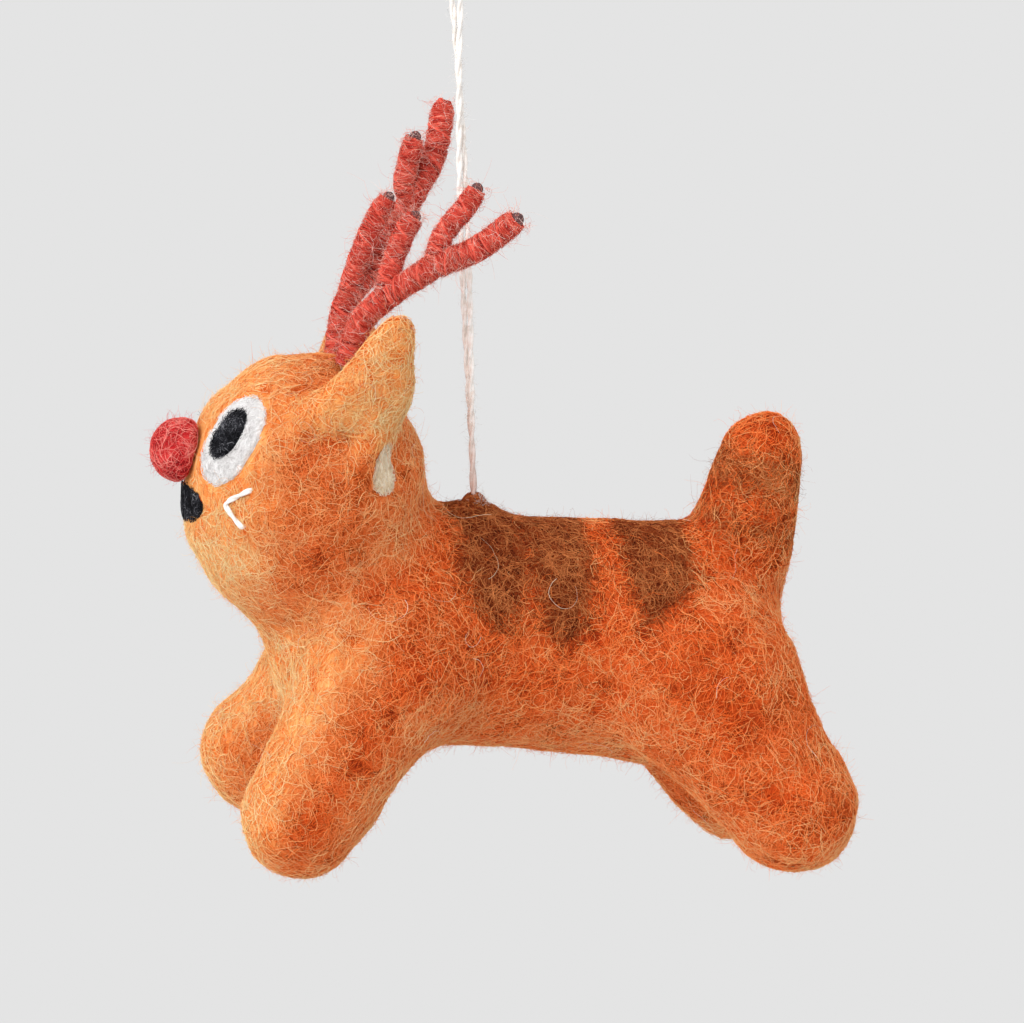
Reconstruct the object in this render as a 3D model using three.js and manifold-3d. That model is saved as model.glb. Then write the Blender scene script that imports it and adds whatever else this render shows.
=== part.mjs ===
// A needle-felted cat dressed as a reindeer, hung by a doubled yarn. Millimetres, +Z up.
// The cat faces -X and its left side is -Y. The origin is inside the top of the hanging loop.
import * as THREE from 'three';
import { mergeVertices } from 'three/addons/utils/BufferGeometryUtils.js';
import Module from 'manifold-3d';

const wasm = await Module();
wasm.setup();

// Fits
const clearance = 0.3; // between pieces that touch
const patchThickness = 0.6; // wool felted on as a patch, stripe or band

// Hanging cord and its knot
const hangLength = 90; // inside top of the loop down to the middle of the knot
const cordDiameter = 0.7;
const strandGap = 0.35; // between the two strands
const knotDiameter = 3.4;
const knotProud = 1.7; // the knot's middle above the back

// Torso: three girths, each with its place along X and the height of the back there
const bodyLength = 49; // from the chest girth to the rump girth
const chestAhead = 16.6; // the chest girth ahead of the knot
const chestBack = -0.2;
const chestHeight = 36;
const chestWidth = 33;
const waistBehind = 24; // the waist girth behind the chest girth
const waistBack = -2.4;
const waistHeight = 36.6;
const waistWidth = 29;
const rumpBack = -4.6;
const rumpHeight = 39;
const rumpWidth = 26.6;
const chestRound = 17; // length of the rounded front end
const rumpRound = 16; // length of the rounded rear end

// Legs: where each foot lies from the top of its leg, with thicknesses as seen from the side, and widths
const kneeShare = 0.55; // how far down a leg its middle girth lies
const shoulderSet = 1; // top of a front leg behind the chest girth
const shoulderInset = 6.2; // top of a front leg inside the chest's side
const shoulderDrop = 4; // top of a front leg below the middle of the chest
const shoulderThickness = 25;
const shoulderWidth = 22;
const forelegThickness = 20.4;
const forelegWidth = 19.6;
const forepawThickness = 18.8;
const forepawSplay = 3.6; // sideways, from the top of the leg
const leftForepawForward = 15.4;
const leftForepawDrop = 21.8;
const rightForepawForward = 17.6;
const rightForepawDrop = 17.4;
const hipSet = 1; // top of a hind leg behind the rump girth
const hipInset = 3.6;
const hipDrop = 4;
const hipThickness = 30;
const hipWidth = 20;
const hindlegThickness = 24;
const hindlegWidth = 19;
const hindpawThickness = 20;
const hindpawSplay = 3.6;
const leftHindpawBack = 12.9;
const leftHindpawDrop = 20.9;
const rightHindpawBack = 9.8;
const rightHindpawDrop = 20.6;

// Tail, which stands up from the rump and leans back a little
const tailSet = 8.2; // root behind the rump girth
const tailSink = 10.4; // root below the back
const tailHeight = 20.4; // root to the middle of the round tip
const tailLean = 5.6; // how far the tip lies behind the root
const tailRootThickness = 16.8;
const tailMiddleThickness = 15.8;
const tailTipThickness = 12.8;
const upperBandDown = 0.8; // below the middle of the tip
const upperBandWidth = 5;
const lowerBandDown = 9.8;
const lowerBandWidth = 4.2;

// Back stripes: tapered tongues over the back and down both flanks, behind the chest girth or ahead of the rump
const frontStripeBehind = 12.6;
const frontStripeWidth = 10;
const frontStripeReach = 18;
const middleStripeBehind = 23.6;
const middleStripeWidth = 9.2;
const middleStripeReach = 21;
const rearStripeAhead = 10.4;
const rearStripeWidth = 9.6;
const rearStripeReach = 22.2;
const stripeTipWidth = 4.6;

// Head: an egg on the chest
const headForward = 9.7; // middle of the head ahead of the chest girth
const headRise = 21.5; // above the middle of the chest
const headLength = 37.8;
const headWidth = 38.6;
const headHeight = 43.8;

// Face: each feature has its turn from the nose and its lift, in degrees, seen from the head's middle
const noseDiameter = 10.2;
const noseLift = 20.5;
const noseProud = 1; // the ball's middle outside the face
const eyeTurn = 39.5;
const eyeLift = 29.5;
const eyeLean = 20;
const eyeWidth = 10.4;
const eyeHeight = 15;
const pupilTurn = 38.5;
const pupilLift = 31.5;
const pupilWidth = 5.6;
const pupilHeight = 8.8;
const mouthLift = 0.5;
const mouthWidth = 17.2;
const mouthHeight = 5.6;
const whiskerDiameter = 0.8;
const whiskerSpots = [
  { turn: 57, lift: 9.6 },
  { turn: 49.5, lift: 6.6 },
  { turn: 44, lift: 4.4 },
  { turn: 42.8, lift: 3 },
  { turn: 44.4, lift: 1 },
  { turn: 48.4, lift: -2.4 },
  { turn: 52.4, lift: -5.8 },
];

// Ears: leaves with a round tip, from a root inside the head
const leftEarTurn = 108;
const rightEarTurn = 124;
const earLift = 34;
const earSink = 3; // root inside the head
const earBow = 0.9; // how far the middle bows out to the back
const earThickness = 10;
const earWidth = 15.4;
const earMiddleThickness = 7;
const earMiddleWidth = 12.2;
const earTipThickness = 4.4;
const earTipWidth = 5.2;
const leftEarBack = 8.7; // tip from the root, back, up and out
const leftEarUp = 15.7;
const rightEarBack = 3.4;
const rightEarUp = 15.6;
const earOut = 4.2;
const liningTurn = 123;
const liningLift = 18.5;
const liningLean = 14;
const liningWidth = 4.2;
const liningHeight = 10.4;

// Antlers: wire wound with yarn, rooted in the head
const antlerTurn = 138;
const antlerLift = 64;
const beamWire = 1.6;
const tineWire = 1.2;
const yarnDiameter = 0.8;
const windingPitch = 1.6;
const wireBare = 0.6; // bare wire past the winding at a tip
const stubLength = 9; // wire in the head
const rootGap = 0.6; // where the wire bends, between the stub and the antler
const bindingBelow = 1.6; // the bound fork reaches this far down the beam
const bindingAbove = 4.8; // and this far up each prong
const bindingThickness = 3.7;
// Each beam's points are from its root, and each tine's from its fork, back, right and up
const leftBeam = [
  [0, 0, 0], [2.2, -1.1, 6.6], [5.6, -3.2, 10.2], [9.6, -5, 13],
  [12.7, -6.6, 15], [18.8, -9.6, 17.6], [25.4, -12.6, 22.6],
];
const leftFrontTine = [[1.1, 0.5, 3.9], [2.5, 0.9, 7.4], [3.9, 1.2, 10.2], [6, 1.5, 12.8]];
const leftMiddleTine = [[1.5, 0.2, 4.4], [3.4, 0.1, 6.8], [5.6, 0, 9.2], [7.6, 0, 12.2]];
const leftForks = [2, 4]; // which of the beam's points the tines leave from
const leftStretches = ['lower', 'tip']; // stretches of the beam with a winding
const rightBeam = [
  [0, 0, 0], [1, 0.5, 4.4], [2.3, 1.1, 8.6], [6.5, 2.3, 13],
  [10.3, 3.6, 18.5], [13.6, 5.1, 23.2], [17.7, 6.6, 29.6], [20.2, 8.6, 38.4],
];
const rightFrontTine = [[1.4, -1.4, 5], [2.8, -2.2, 8.7], [4.4, -2.8, 12.2], [7.2, -3.2, 16.6]];
const rightMiddleTine = [[-1, -0.5, 2.4], [-0.5, -1, 5.2], [0.4, -1.3, 8.6], [1.2, -1.5, 10.8]];
const rightForks = [2, 5];
const rightStretches = ['lower', 'middle', 'tip'];

// Facets
const bodySides = 20;
const bodyRings = 9;
const capRings = 5;
const headFacets = 24;
const limbSides = 14;
const limbRings = 6;
const limbCapRings = 4;
const bindingSides = 6;
const bindingRings = 3;
const bindingCapRings = 2;
const noseFacets = 18;
const knotFacets = 12;
const wireSides = 6;
const beamSteps = 22;
const tineSteps = 9;
const yarnSides = 5;
const loopSteps = 8;
const whiskerSides = 6;
const whiskerSteps = 14;
const cordSides = 8;
const cordSteps = 64;

const felt = new THREE.MeshStandardMaterial({ name: 'orange_felt', color: 0xe07030, roughness: 0.95 });
const brown = new THREE.MeshStandardMaterial({ name: 'brown_felt', color: 0x82461e, roughness: 0.95 });
const white = new THREE.MeshStandardMaterial({ name: 'white_felt', color: 0xf5f0ee, roughness: 0.95 });
const black = new THREE.MeshStandardMaterial({ name: 'black_felt', color: 0x232326, roughness: 0.95 });
const cream = new THREE.MeshStandardMaterial({ name: 'cream_felt', color: 0xe1c8a5, roughness: 0.95 });
const red = new THREE.MeshStandardMaterial({ name: 'red_felt', color: 0xc83232, roughness: 0.95 });
const redYarn = new THREE.MeshStandardMaterial({ name: 'red_yarn', color: 0xb84232, roughness: 0.9 });
const whiteYarn = new THREE.MeshStandardMaterial({ name: 'white_yarn', color: 0xf0ebe6, roughness: 0.9 });
const wire = new THREE.MeshStandardMaterial({ name: 'wire', color: 0x4a2a28, roughness: 0.6 });

const vector = (x, y, z) => new THREE.Vector3(x, y, z);
const toRadians = THREE.MathUtils.degToRad;
const across = vector(0, 1, 0);
const upright = vector(0, 0, 1);

// Solids

function solidOf(geometry) {
  const bare = geometry.clone();
  bare.deleteAttribute('normal');
  bare.deleteAttribute('uv');
  const merged = mergeVertices(bare);
  const vertProperties = new Float32Array(merged.attributes.position.array);
  const triVerts = new Uint32Array(merged.index.array);
  return new wasm.Manifold(new wasm.Mesh({ numProp: 3, vertProperties, triVerts }));
}

function geometryOf(solid) {
  const mesh = solid.getMesh();
  const geometry = new THREE.BufferGeometry();
  geometry.setAttribute('position', new THREE.BufferAttribute(mesh.vertProperties, 3));
  geometry.setIndex(new THREE.BufferAttribute(mesh.triVerts, 1));
  geometry.computeVertexNormals();
  return geometry;
}

// Joins rings of points, each with the same number of points, into a closed skin between two end points
function skin(first, rings, last) {
  const positions = [first, ...rings.flat(), last].flatMap((point) => point.toArray());
  const sides = rings[0].length;
  const lastIndex = rings.length * sides + 1;
  const at = (ring, side) => 1 + ring * sides + (side % sides);
  const faces = [];
  for (let side = 0; side < sides; side += 1) {
    faces.push(0, at(0, side + 1), at(0, side));
    faces.push(lastIndex, at(rings.length - 1, side), at(rings.length - 1, side + 1));
  }
  for (let ring = 0; ring + 1 < rings.length; ring += 1) {
    for (let side = 0; side < sides; side += 1) {
      faces.push(at(ring, side), at(ring, side + 1), at(ring + 1, side + 1));
      faces.push(at(ring, side), at(ring + 1, side + 1), at(ring + 1, side));
    }
  }
  const geometry = new THREE.BufferGeometry();
  geometry.setAttribute('position', new THREE.Float32BufferAttribute(positions, 3));
  geometry.setIndex(faces);
  geometry.computeVertexNormals();
  return geometry;
}

// A form that swells and tapers along a spine, with round ends. Each girth has its middle, and its half
// height and half width there. growth makes the same form larger all over.
function swellingForm(girths, ends, facets, growth = 0, sideways = across) {
  const spine = new THREE.CatmullRomCurve3(girths.map((girth) => girth.at));
  const sizes = new THREE.CatmullRomCurve3(girths.map((girth) => vector(girth.high, girth.wide, 0)));
  const ring = (middle, along, high, wide) => {
    const e1 = sideways.clone().addScaledVector(along, -sideways.dot(along)).normalize();
    const e2 = along.clone().cross(e1);
    return Array.from({ length: facets.sides }, (_, side) => {
      const angle = (2 * Math.PI * side) / facets.sides;
      const point = middle.clone().addScaledVector(e1, wide * Math.cos(angle));
      return point.addScaledVector(e2, high * Math.sin(angle));
    });
  };
  const roundEnd = (t, length, sign) => {
    const along = spine.getTangent(t);
    const size = sizes.getPoint(t);
    const rings = [];
    for (let step = 1; step < facets.capRings; step += 1) {
      const angle = (Math.PI / 2) * (step / facets.capRings);
      const middle = spine.getPoint(t).addScaledVector(along, sign * (length + growth) * Math.cos(angle));
      const share = Math.sin(angle);
      rings.push(ring(middle, along, (size.x + growth) * share, (size.y + growth) * share));
    }
    const pole = spine.getPoint(t).addScaledVector(along, sign * (length + growth));
    return { pole, rings };
  };
  const start = roundEnd(0, ends[0], -1);
  const finish = roundEnd(1, ends[1], 1);
  const middleRings = Array.from({ length: facets.rings }, (_, step) => {
    const t = step / (facets.rings - 1);
    const size = sizes.getPoint(t);
    return ring(spine.getPoint(t), spine.getTangent(t), size.x + growth, size.y + growth);
  });
  return skin(start.pole, [...start.rings, ...middleRings, ...finish.rings.reverse()], finish.pole);
}

function tubeAlong(route, diameter, sides, steps) {
  const section = new THREE.Shape(Array.from({ length: sides }, (_, side) => {
    const angle = (2 * Math.PI * side) / sides;
    return new THREE.Vector2(Math.cos(angle), Math.sin(angle)).multiplyScalar(diameter / 2);
  }));
  return new THREE.ExtrudeGeometry(section, { extrudePath: route, steps, bevelEnabled: false });
}

function ball(diameter, middle, facets) {
  return new THREE.SphereGeometry(diameter / 2, facets, facets / 2).translate(middle.x, middle.y, middle.z);
}

// Torso

const bodyFacets = { sides: bodySides, rings: bodyRings, capRings };
const limbFacets = { sides: limbSides, rings: limbRings, capRings: limbCapRings };
const chestMiddle = vector(-chestAhead, 0, chestBack - chestHeight / 2);
const waistMiddle = vector(waistBehind - chestAhead, 0, waistBack - waistHeight / 2);
const rumpMiddle = vector(bodyLength - chestAhead, 0, rumpBack - rumpHeight / 2);
const girth = (at, thickness, width) => ({ at, high: thickness / 2, wide: width / 2 });
const torsoGirths = [
  girth(chestMiddle, chestHeight, chestWidth),
  girth(waistMiddle, waistHeight, waistWidth),
  girth(rumpMiddle, rumpHeight, rumpWidth),
];
const torsoForm = (growth) => swellingForm(torsoGirths, [chestRound, rumpRound], bodyFacets, growth);

// The height of the back at the knot, which everything hangs from
function backAtKnot() {
  const spine = new THREE.CatmullRomCurve3(torsoGirths.map((girth) => girth.at));
  const sizes = new THREE.CatmullRomCurve3(torsoGirths.map((girth) => vector(girth.high, girth.wide, 0)));
  let low = 0;
  let high = 1;
  for (let pass = 0; pass < 40; pass += 1) {
    const t = (low + high) / 2;
    if (spine.getPoint(t).x < 0) low = t;
    else high = t;
  }
  return spine.getPoint(low).z + sizes.getPoint(low).x;
}
const knotMiddle = vector(0, 0, backAtKnot() + knotProud);

const torsoSkin = solidOf(torsoForm(0));
const torsoKeepOut = solidOf(torsoForm(clearance));
const patchKeepOut = solidOf(torsoForm(2 * clearance + patchThickness));
const knotSeat = solidOf(ball(knotDiameter + 2 * clearance, knotMiddle, knotFacets));

// Head

const headMiddle = chestMiddle.clone().add(vector(-headForward, 0, headRise));
const headRadii = vector(headLength / 2, headWidth / 2, headHeight / 2);
function headForm(growth) {
  const form = new THREE.SphereGeometry(1, headFacets, Math.round(headFacets * 0.7));
  form.scale(headRadii.x + growth, headRadii.y + growth, headRadii.z + growth);
  return form.translate(headMiddle.x, headMiddle.y, headMiddle.z);
}
const headKeepOut = solidOf(headForm(clearance));

// A point on the head, with its outward direction. side is -1 for the cat's left and 1 for its right
function headSpot(turn, lift, side) {
  const unit = vector(-Math.cos(toRadians(turn)), side * Math.sin(toRadians(turn)), 0);
  unit.multiplyScalar(Math.cos(toRadians(lift)));
  unit.z = Math.sin(toRadians(lift));
  const at = unit.clone().multiply(headRadii).add(headMiddle);
  return { at, out: unit.clone().divide(headRadii).normalize() };
}

// A flat outline, standing on a spot of the head and reaching through its surface. lean turns it to the back
function outlineThrough(spot, outline, lean, side, depth = 7) {
  const up = upright.clone().addScaledVector(spot.out, -spot.out.z).normalize();
  up.applyAxisAngle(spot.out, side * toRadians(lean));
  const right = up.clone().cross(spot.out);
  const options = { depth: 2 * depth, bevelEnabled: false, curveSegments: 9 };
  const prism = new THREE.ExtrudeGeometry(outline, options);
  prism.translate(0, 0, -depth);
  prism.applyMatrix4(new THREE.Matrix4().makeBasis(right, up, spot.out).setPosition(spot.at));
  return solidOf(prism);
}

function oval(width, height) {
  const outline = new THREE.Shape();
  outline.absellipse(0, 0, width / 2, height / 2, 0, 2 * Math.PI);
  return outline;
}

function teardrop(width, height) {
  const outline = new THREE.Shape();
  outline.absarc(0, (width - height) / 2, width / 2, Math.PI * 0.95, Math.PI * 2.05, false);
  outline.lineTo(0, height / 2);
  outline.closePath();
  return outline;
}

// Wool felted onto a form, layer 0 on the form itself and layer 1 on a layer-0 patch
function feltedOn(form, layer) {
  const inside = clearance + layer * (clearance + patchThickness);
  return solidOf(form(inside + patchThickness)).subtract(solidOf(form(inside)));
}
const headPatch = feltedOn(headForm, 0);
const eyePatch = feltedOn(headForm, 1);
const backPatch = feltedOn(torsoForm, 0);

const noseSpot = headSpot(0, noseLift, 1);
const noseMiddle = noseSpot.at.clone().addScaledVector(noseSpot.out, noseProud);
const noseBall = solidOf(ball(noseDiameter, noseMiddle, noseFacets)).subtract(headKeepOut);
const noseKeepOut = solidOf(ball(noseDiameter + 2 * clearance, noseMiddle, noseFacets));
const mouthOutline = outlineThrough(headSpot(0, mouthLift, 1), oval(mouthWidth, mouthHeight), 0, 1);

function whisker(side) {
  const height = clearance + whiskerDiameter / 2;
  const points = whiskerSpots.map(({ turn, lift }) => {
    const spot = headSpot(turn, lift, side);
    return spot.at.addScaledVector(spot.out, height);
  });
  return tubeAlong(new THREE.CatmullRomCurve3(points), whiskerDiameter, whiskerSides, whiskerSteps);
}

// Ears

function earForm(side, turn, back, up) {
  const spot = headSpot(turn, earLift, side);
  const root = spot.at.clone().addScaledVector(spot.out, -earSink);
  const tip = root.clone().add(vector(back, side * earOut, up));
  const middle = root.clone().lerp(tip, 0.55).add(vector(earBow, 0, -earBow));
  const girths = [
    girth(root, earWidth, earThickness),
    girth(middle, earMiddleWidth, earMiddleThickness),
    girth(tip, earTipWidth, earTipThickness),
  ];
  const facing = vector(0.35, side, 0).normalize();
  const ends = [earThickness / 2, earTipThickness / 2];
  return (growth) => swellingForm(girths, ends, limbFacets, growth, facing);
}
const leftEarForm = earForm(-1, leftEarTurn, leftEarBack, leftEarUp);
const rightEarForm = earForm(1, rightEarTurn, rightEarBack, rightEarUp);

function lining(side, ear) {
  const spot = headSpot(liningTurn, liningLift, side);
  const outline = outlineThrough(spot, teardrop(liningWidth, liningHeight), liningLean, side);
  return headPatch.intersect(outline).subtract(solidOf(ear(clearance)));
}

// Legs and tail

function foreleg(side, forward, drop) {
  const out = chestWidth / 2 - shoulderInset;
  const top = chestMiddle.clone().add(vector(shoulderSet, side * out, -shoulderDrop));
  const foot = top.clone().add(vector(-forward, side * forepawSplay, -drop));
  const girths = [
    girth(top, shoulderThickness, shoulderWidth),
    girth(top.clone().lerp(foot, kneeShare), forelegThickness, forelegWidth),
    girth(foot, forepawThickness, forepawThickness),
  ];
  return (growth) => swellingForm(girths, [shoulderThickness / 2, forepawThickness / 2], limbFacets, growth);
}

function hindleg(side, back, drop) {
  const out = rumpWidth / 2 - hipInset;
  const top = rumpMiddle.clone().add(vector(hipSet, side * out, -hipDrop));
  const foot = top.clone().add(vector(back, side * hindpawSplay, -drop));
  const girths = [
    girth(top, hipThickness, hipWidth),
    girth(top.clone().lerp(foot, kneeShare), hindlegThickness, hindlegWidth),
    girth(foot, hindpawThickness, hindpawThickness),
  ];
  return (growth) => swellingForm(girths, [hipThickness / 2, hindpawThickness / 2], limbFacets, growth);
}

const leftForelegForm = foreleg(-1, leftForepawForward, leftForepawDrop);
const rightForelegForm = foreleg(1, rightForepawForward, rightForepawDrop);
const leftHindlegForm = hindleg(-1, leftHindpawBack, leftHindpawDrop);
const rightHindlegForm = hindleg(1, rightHindpawBack, rightHindpawDrop);
const hindlegKeepOut = solidOf(leftHindlegForm(clearance)).add(solidOf(rightHindlegForm(clearance)));

const tailRoot = rumpMiddle.clone().add(vector(tailSet, 0, rumpHeight / 2 - tailSink));
const tailTip = tailRoot.clone().add(vector(tailLean, 0, tailHeight));
const tailMiddle = tailRoot.clone().lerp(tailTip, 0.5);
const tailGirths = [
  girth(tailRoot, tailRootThickness, tailRootThickness),
  girth(tailMiddle, tailMiddleThickness, tailMiddleThickness),
  girth(tailTip, tailTipThickness, tailTipThickness),
];
const tailEnds = [tailRootThickness / 2, tailTipThickness / 2];
const tailForm = (growth) => swellingForm(tailGirths, tailEnds, limbFacets, growth);
const tailPatch = feltedOn(tailForm, 0);

function tailBand(down, width) {
  const along = tailTip.clone().sub(tailRoot).normalize();
  const middle = tailTip.clone().addScaledVector(along, -down - width / 2);
  const slice = new THREE.CylinderGeometry(tailRootThickness, tailRootThickness, width, bodySides);
  slice.applyQuaternion(new THREE.Quaternion().setFromUnitVectors(across, along));
  slice.translate(middle.x, middle.y, middle.z);
  return tailPatch.intersect(solidOf(slice)).subtract(patchKeepOut);
}

function backStripe(behind, width, reach) {
  const top = chestHeight;
  const low = chestBack - reach;
  const front = behind - chestAhead;
  const rear = front + width;
  const middle = (front + rear) / 2;
  const tip = stripeTipWidth / 2;
  const outline = new THREE.Shape();
  outline.moveTo(front, top);
  outline.lineTo(front, low + reach / 2);
  outline.absarc(middle, low + tip, tip, Math.PI, 2 * Math.PI, false);
  outline.lineTo(rear, low + reach / 2);
  outline.lineTo(rear, top);
  const reachAcross = Math.max(chestWidth, waistWidth, rumpWidth);
  const options = { depth: 2 * reachAcross, bevelEnabled: false, curveSegments: 5 };
  const prism = new THREE.ExtrudeGeometry(outline, options);
  prism.rotateX(Math.PI / 2).translate(0, reachAcross, 0);
  return geometryOf(backPatch.intersect(solidOf(prism)).subtract(knotSeat).subtract(hindlegKeepOut));
}

// Antlers

// The length along a route to one of the points that it was made from
function lengthTo(route, point) {
  const perPoint = 40;
  const lengths = route.getLengths(perPoint * (route.points.length - 1));
  return lengths[point * perPoint];
}

const helixReach = (wireDiameter) =>
  (wireDiameter / 2 + clearance + yarnDiameter / 2) / Math.cos(Math.PI / loopSteps);

// Yarn wound round a wire between two lengths along it, with a straight end of one diameter at each end
function winding(name, route, wireDiameter, from, to) {
  const loops = Math.max(2, Math.floor((to - from) / windingPitch));
  const steps = loops * loopSteps;
  const total = route.getLength();
  const reach = helixReach(wireDiameter);
  const normal = across.clone();
  const centres = [];
  for (let step = 0; step <= steps; step += 1) {
    const place = (from + ((to - from) * step) / steps) / total;
    const along = route.getTangentAt(place);
    normal.addScaledVector(along, -normal.dot(along)).normalize();
    const angle = (2 * Math.PI * step) / loopSteps;
    const out = normal.clone().multiplyScalar(Math.cos(angle));
    out.addScaledVector(along.clone().cross(normal), Math.sin(angle));
    centres.push(route.getPointAt(place).addScaledVector(out, reach));
  }
  const lead = (end, next) => end.clone().add(end.clone().sub(next).setLength(yarnDiameter));
  centres.unshift(lead(centres[0], centres[1]));
  centres.push(lead(centres[steps + 1], centres[steps]));
  console.log(name, 'loops', loops, 'least gap', leastGap(centres).toFixed(2), 'mm');
  return yarnTube(centres);
}

// The least gap between turns of a wound yarn, on points along it
function leastGap(centres) {
  const finer = new THREE.CatmullRomCurve3(centres).getPoints(centres.length * 3);
  const apart = loopSteps * 2;
  let least = Infinity;
  for (let one = 0; one < finer.length; one += 1) {
    for (let other = one + apart; other < finer.length; other += 1) {
      least = Math.min(least, finer[one].distanceTo(finer[other]));
    }
  }
  return least - yarnDiameter;
}

function yarnTube(centres) {
  const last = centres.length - 1;
  const sideways = across.clone();
  const rings = centres.map((centre, index) => {
    const along = centres[Math.min(index + 1, last)].clone().sub(centres[Math.max(index - 1, 0)]).normalize();
    sideways.addScaledVector(along, -sideways.dot(along)).normalize();
    const upward = along.clone().cross(sideways);
    return Array.from({ length: yarnSides }, (_, side) => {
      const angle = (2 * Math.PI * side) / yarnSides;
      const out = sideways.clone().multiplyScalar(Math.cos(angle)).addScaledVector(upward, Math.sin(angle));
      return centre.clone().addScaledVector(out, yarnDiameter / 2);
    });
  });
  return skin(centres[0], rings, centres[last]);
}

// A fork bound with yarn: a stretch of a route, as thick as the winding beside it
function binding(route, from, to) {
  const total = route.getLength();
  const girths = [0, 0.5, 1].map((share) => ({
    at: route.getPointAt(THREE.MathUtils.lerp(from, to, share) / total),
    high: bindingThickness / 2,
    wide: bindingThickness / 2,
  }));
  const facets = { sides: bindingSides, rings: bindingRings, capRings: bindingCapRings };
  return solidOf(swellingForm(girths, [bindingThickness / 4, bindingThickness / 4], facets));
}

function routeFrom(start, offsets) {
  const points = offsets.map((offset) => start.clone().add(vector(...offset)));
  return new THREE.CatmullRomCurve3([start, ...points]);
}

// One antler's wire, windings and bound forks, as [name, geometry, material] rows, and the stub that holds it
function antler(side, beam, forks, stretches, frontTine, middleTine) {
  const spot = headSpot(antlerTurn, antlerLift, side === 'left' ? -1 : 1);
  const root = spot.at.clone().addScaledVector(spot.out, rootGap);
  const beamRoute = new THREE.CatmullRomCurve3(beam.map((offset) => root.clone().add(vector(...offset))));
  const length = beamRoute.getLength();
  const [frontFork, middleFork] = forks.map((point) => lengthTo(beamRoute, point));
  const tines = [
    { name: 'front', route: routeFrom(beamRoute.points[forks[0]], frontTine), fork: frontFork },
    { name: 'middle', route: routeFrom(beamRoute.points[forks[1]], middleTine), fork: middleFork },
  ];
  const wires = (growth) => tines.reduce(
    (joined, { route }) => joined.add(solidOf(tubeAlong(route, tineWire + 2 * growth, wireSides, tineSteps))),
    solidOf(tubeAlong(beamRoute, beamWire + 2 * growth, wireSides, beamSteps)),
  );
  const wireKeepOut = wires(clearance);
  const endGap = bindingThickness / 4 + yarnDiameter / 2 + clearance;
  const spans = {
    lower: [yarnDiameter + rootGap, frontFork - bindingBelow - endGap],
    middle: [frontFork + bindingAbove + endGap, middleFork - bindingBelow - endGap],
    tip: [middleFork + bindingAbove + endGap, length - wireBare - yarnDiameter / 2],
  };
  const rows = [[`${side}_antler_wire`, geometryOf(wires(0)), wire]];
  stretches.forEach((stretch) => {
    const name = `${side}_antler_${stretch}_winding`;
    rows.push([name, winding(name, beamRoute, beamWire, ...spans[stretch]), redYarn]);
  });
  tines.forEach((tine) => {
    const name = `${side}_antler_${tine.name}_tine_winding`;
    const to = tine.route.getLength() - wireBare - yarnDiameter / 2;
    rows.push([name, winding(name, tine.route, tineWire, bindingAbove + endGap, to), redYarn]);
    const alongBeam = binding(beamRoute, tine.fork - bindingBelow, tine.fork + bindingAbove);
    const bound = alongBeam.add(binding(tine.route, 0, bindingAbove)).subtract(wireKeepOut);
    rows.push([`${side}_antler_${tine.name}_fork_binding`, geometryOf(bound), redYarn]);
  });
  const foot = spot.at.clone().addScaledVector(beamRoute.getTangent(0), -stubLength);
  const stubRoute = new THREE.LineCurve3(foot, spot.at);
  rows.push([`${side}_antler_stub`, tubeAlong(stubRoute, beamWire, wireSides, 1), wire]);
  const hole = new THREE.LineCurve3(
    foot.clone().addScaledVector(beamRoute.getTangent(0), -clearance),
    spot.at.clone().addScaledVector(beamRoute.getTangent(0), beamWire),
  );
  return { rows, hole: solidOf(tubeAlong(hole, beamWire + 2 * clearance, wireSides, 1)) };
}

// Hanging cord: up from the knot, round the loop and down again, with one slow twist. Each spot of a strand
// has its drop below the inside of the loop's top, the turn of the pair there, and the pair's spread
const strandReach = (cordDiameter + strandGap) / 2;
const strandSpots = [
  [0.4, 360, 3.4],
  [2.8, 360, 4.6],
  [6.5, 360, 3.2],
  [11, 345, 1.5],
  [16, 312, 1],
  [22, 272, 1],
  [30, 236, 1],
  [39, 204, 1],
  [48, 176, 1],
  [57, 148, 1],
  [66, 120, 1],
  [75, 96, 1],
];
const strandEnd = hangLength - knotDiameter / 2 - strandGap;
const lowSpots = [[strandEnd - 4 * knotDiameter / 2, 78, 1], [strandEnd, 70, 1]];
const spots = [...strandSpots.filter(([down]) => down < lowSpots[0][0] - knotDiameter), ...lowSpots];
const strand = (turned) => spots.map(([down, twist, spread]) => {
  const angle = toRadians(twist + turned);
  const reach = strandReach * spread;
  return vector(reach * Math.cos(angle), reach * Math.sin(angle), knotMiddle.z + hangLength - down);
});
const loopTop = vector(0, 0, knotMiddle.z + hangLength + cordDiameter / 2);
const cordRoute = new THREE.CatmullRomCurve3([...strand(0).reverse(), loopTop, ...strand(180)]);

// Assembly

const leftSet = antler('left', leftBeam, leftForks, leftStretches, leftFrontTine, leftMiddleTine);
const rightSet = antler('right', rightBeam, rightForks, rightStretches, rightFrontTine, rightMiddleTine);
const antlerHoles = leftSet.hole.add(rightSet.hole);
const headSkin = solidOf(headForm(0)).subtract(torsoKeepOut).subtract(antlerHoles);
const tailKeepOut = solidOf(tailForm(clearance));
const tailSkin = solidOf(tailForm(0)).subtract(torsoKeepOut);
const bodyKeepOut = torsoKeepOut.add(headKeepOut).add(tailKeepOut);
const limb = (form) => geometryOf(solidOf(form(0)).subtract(bodyKeepOut));

function eyeWhite(side) {
  const outline = outlineThrough(headSpot(eyeTurn, eyeLift, side), oval(eyeWidth, eyeHeight), eyeLean, side);
  return geometryOf(headPatch.intersect(outline).subtract(noseKeepOut));
}

function pupil(side) {
  const spot = headSpot(pupilTurn, pupilLift, side);
  const outline = outlineThrough(spot, oval(pupilWidth, pupilHeight), eyeLean, side);
  return geometryOf(eyePatch.intersect(outline).subtract(noseKeepOut));
}

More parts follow.
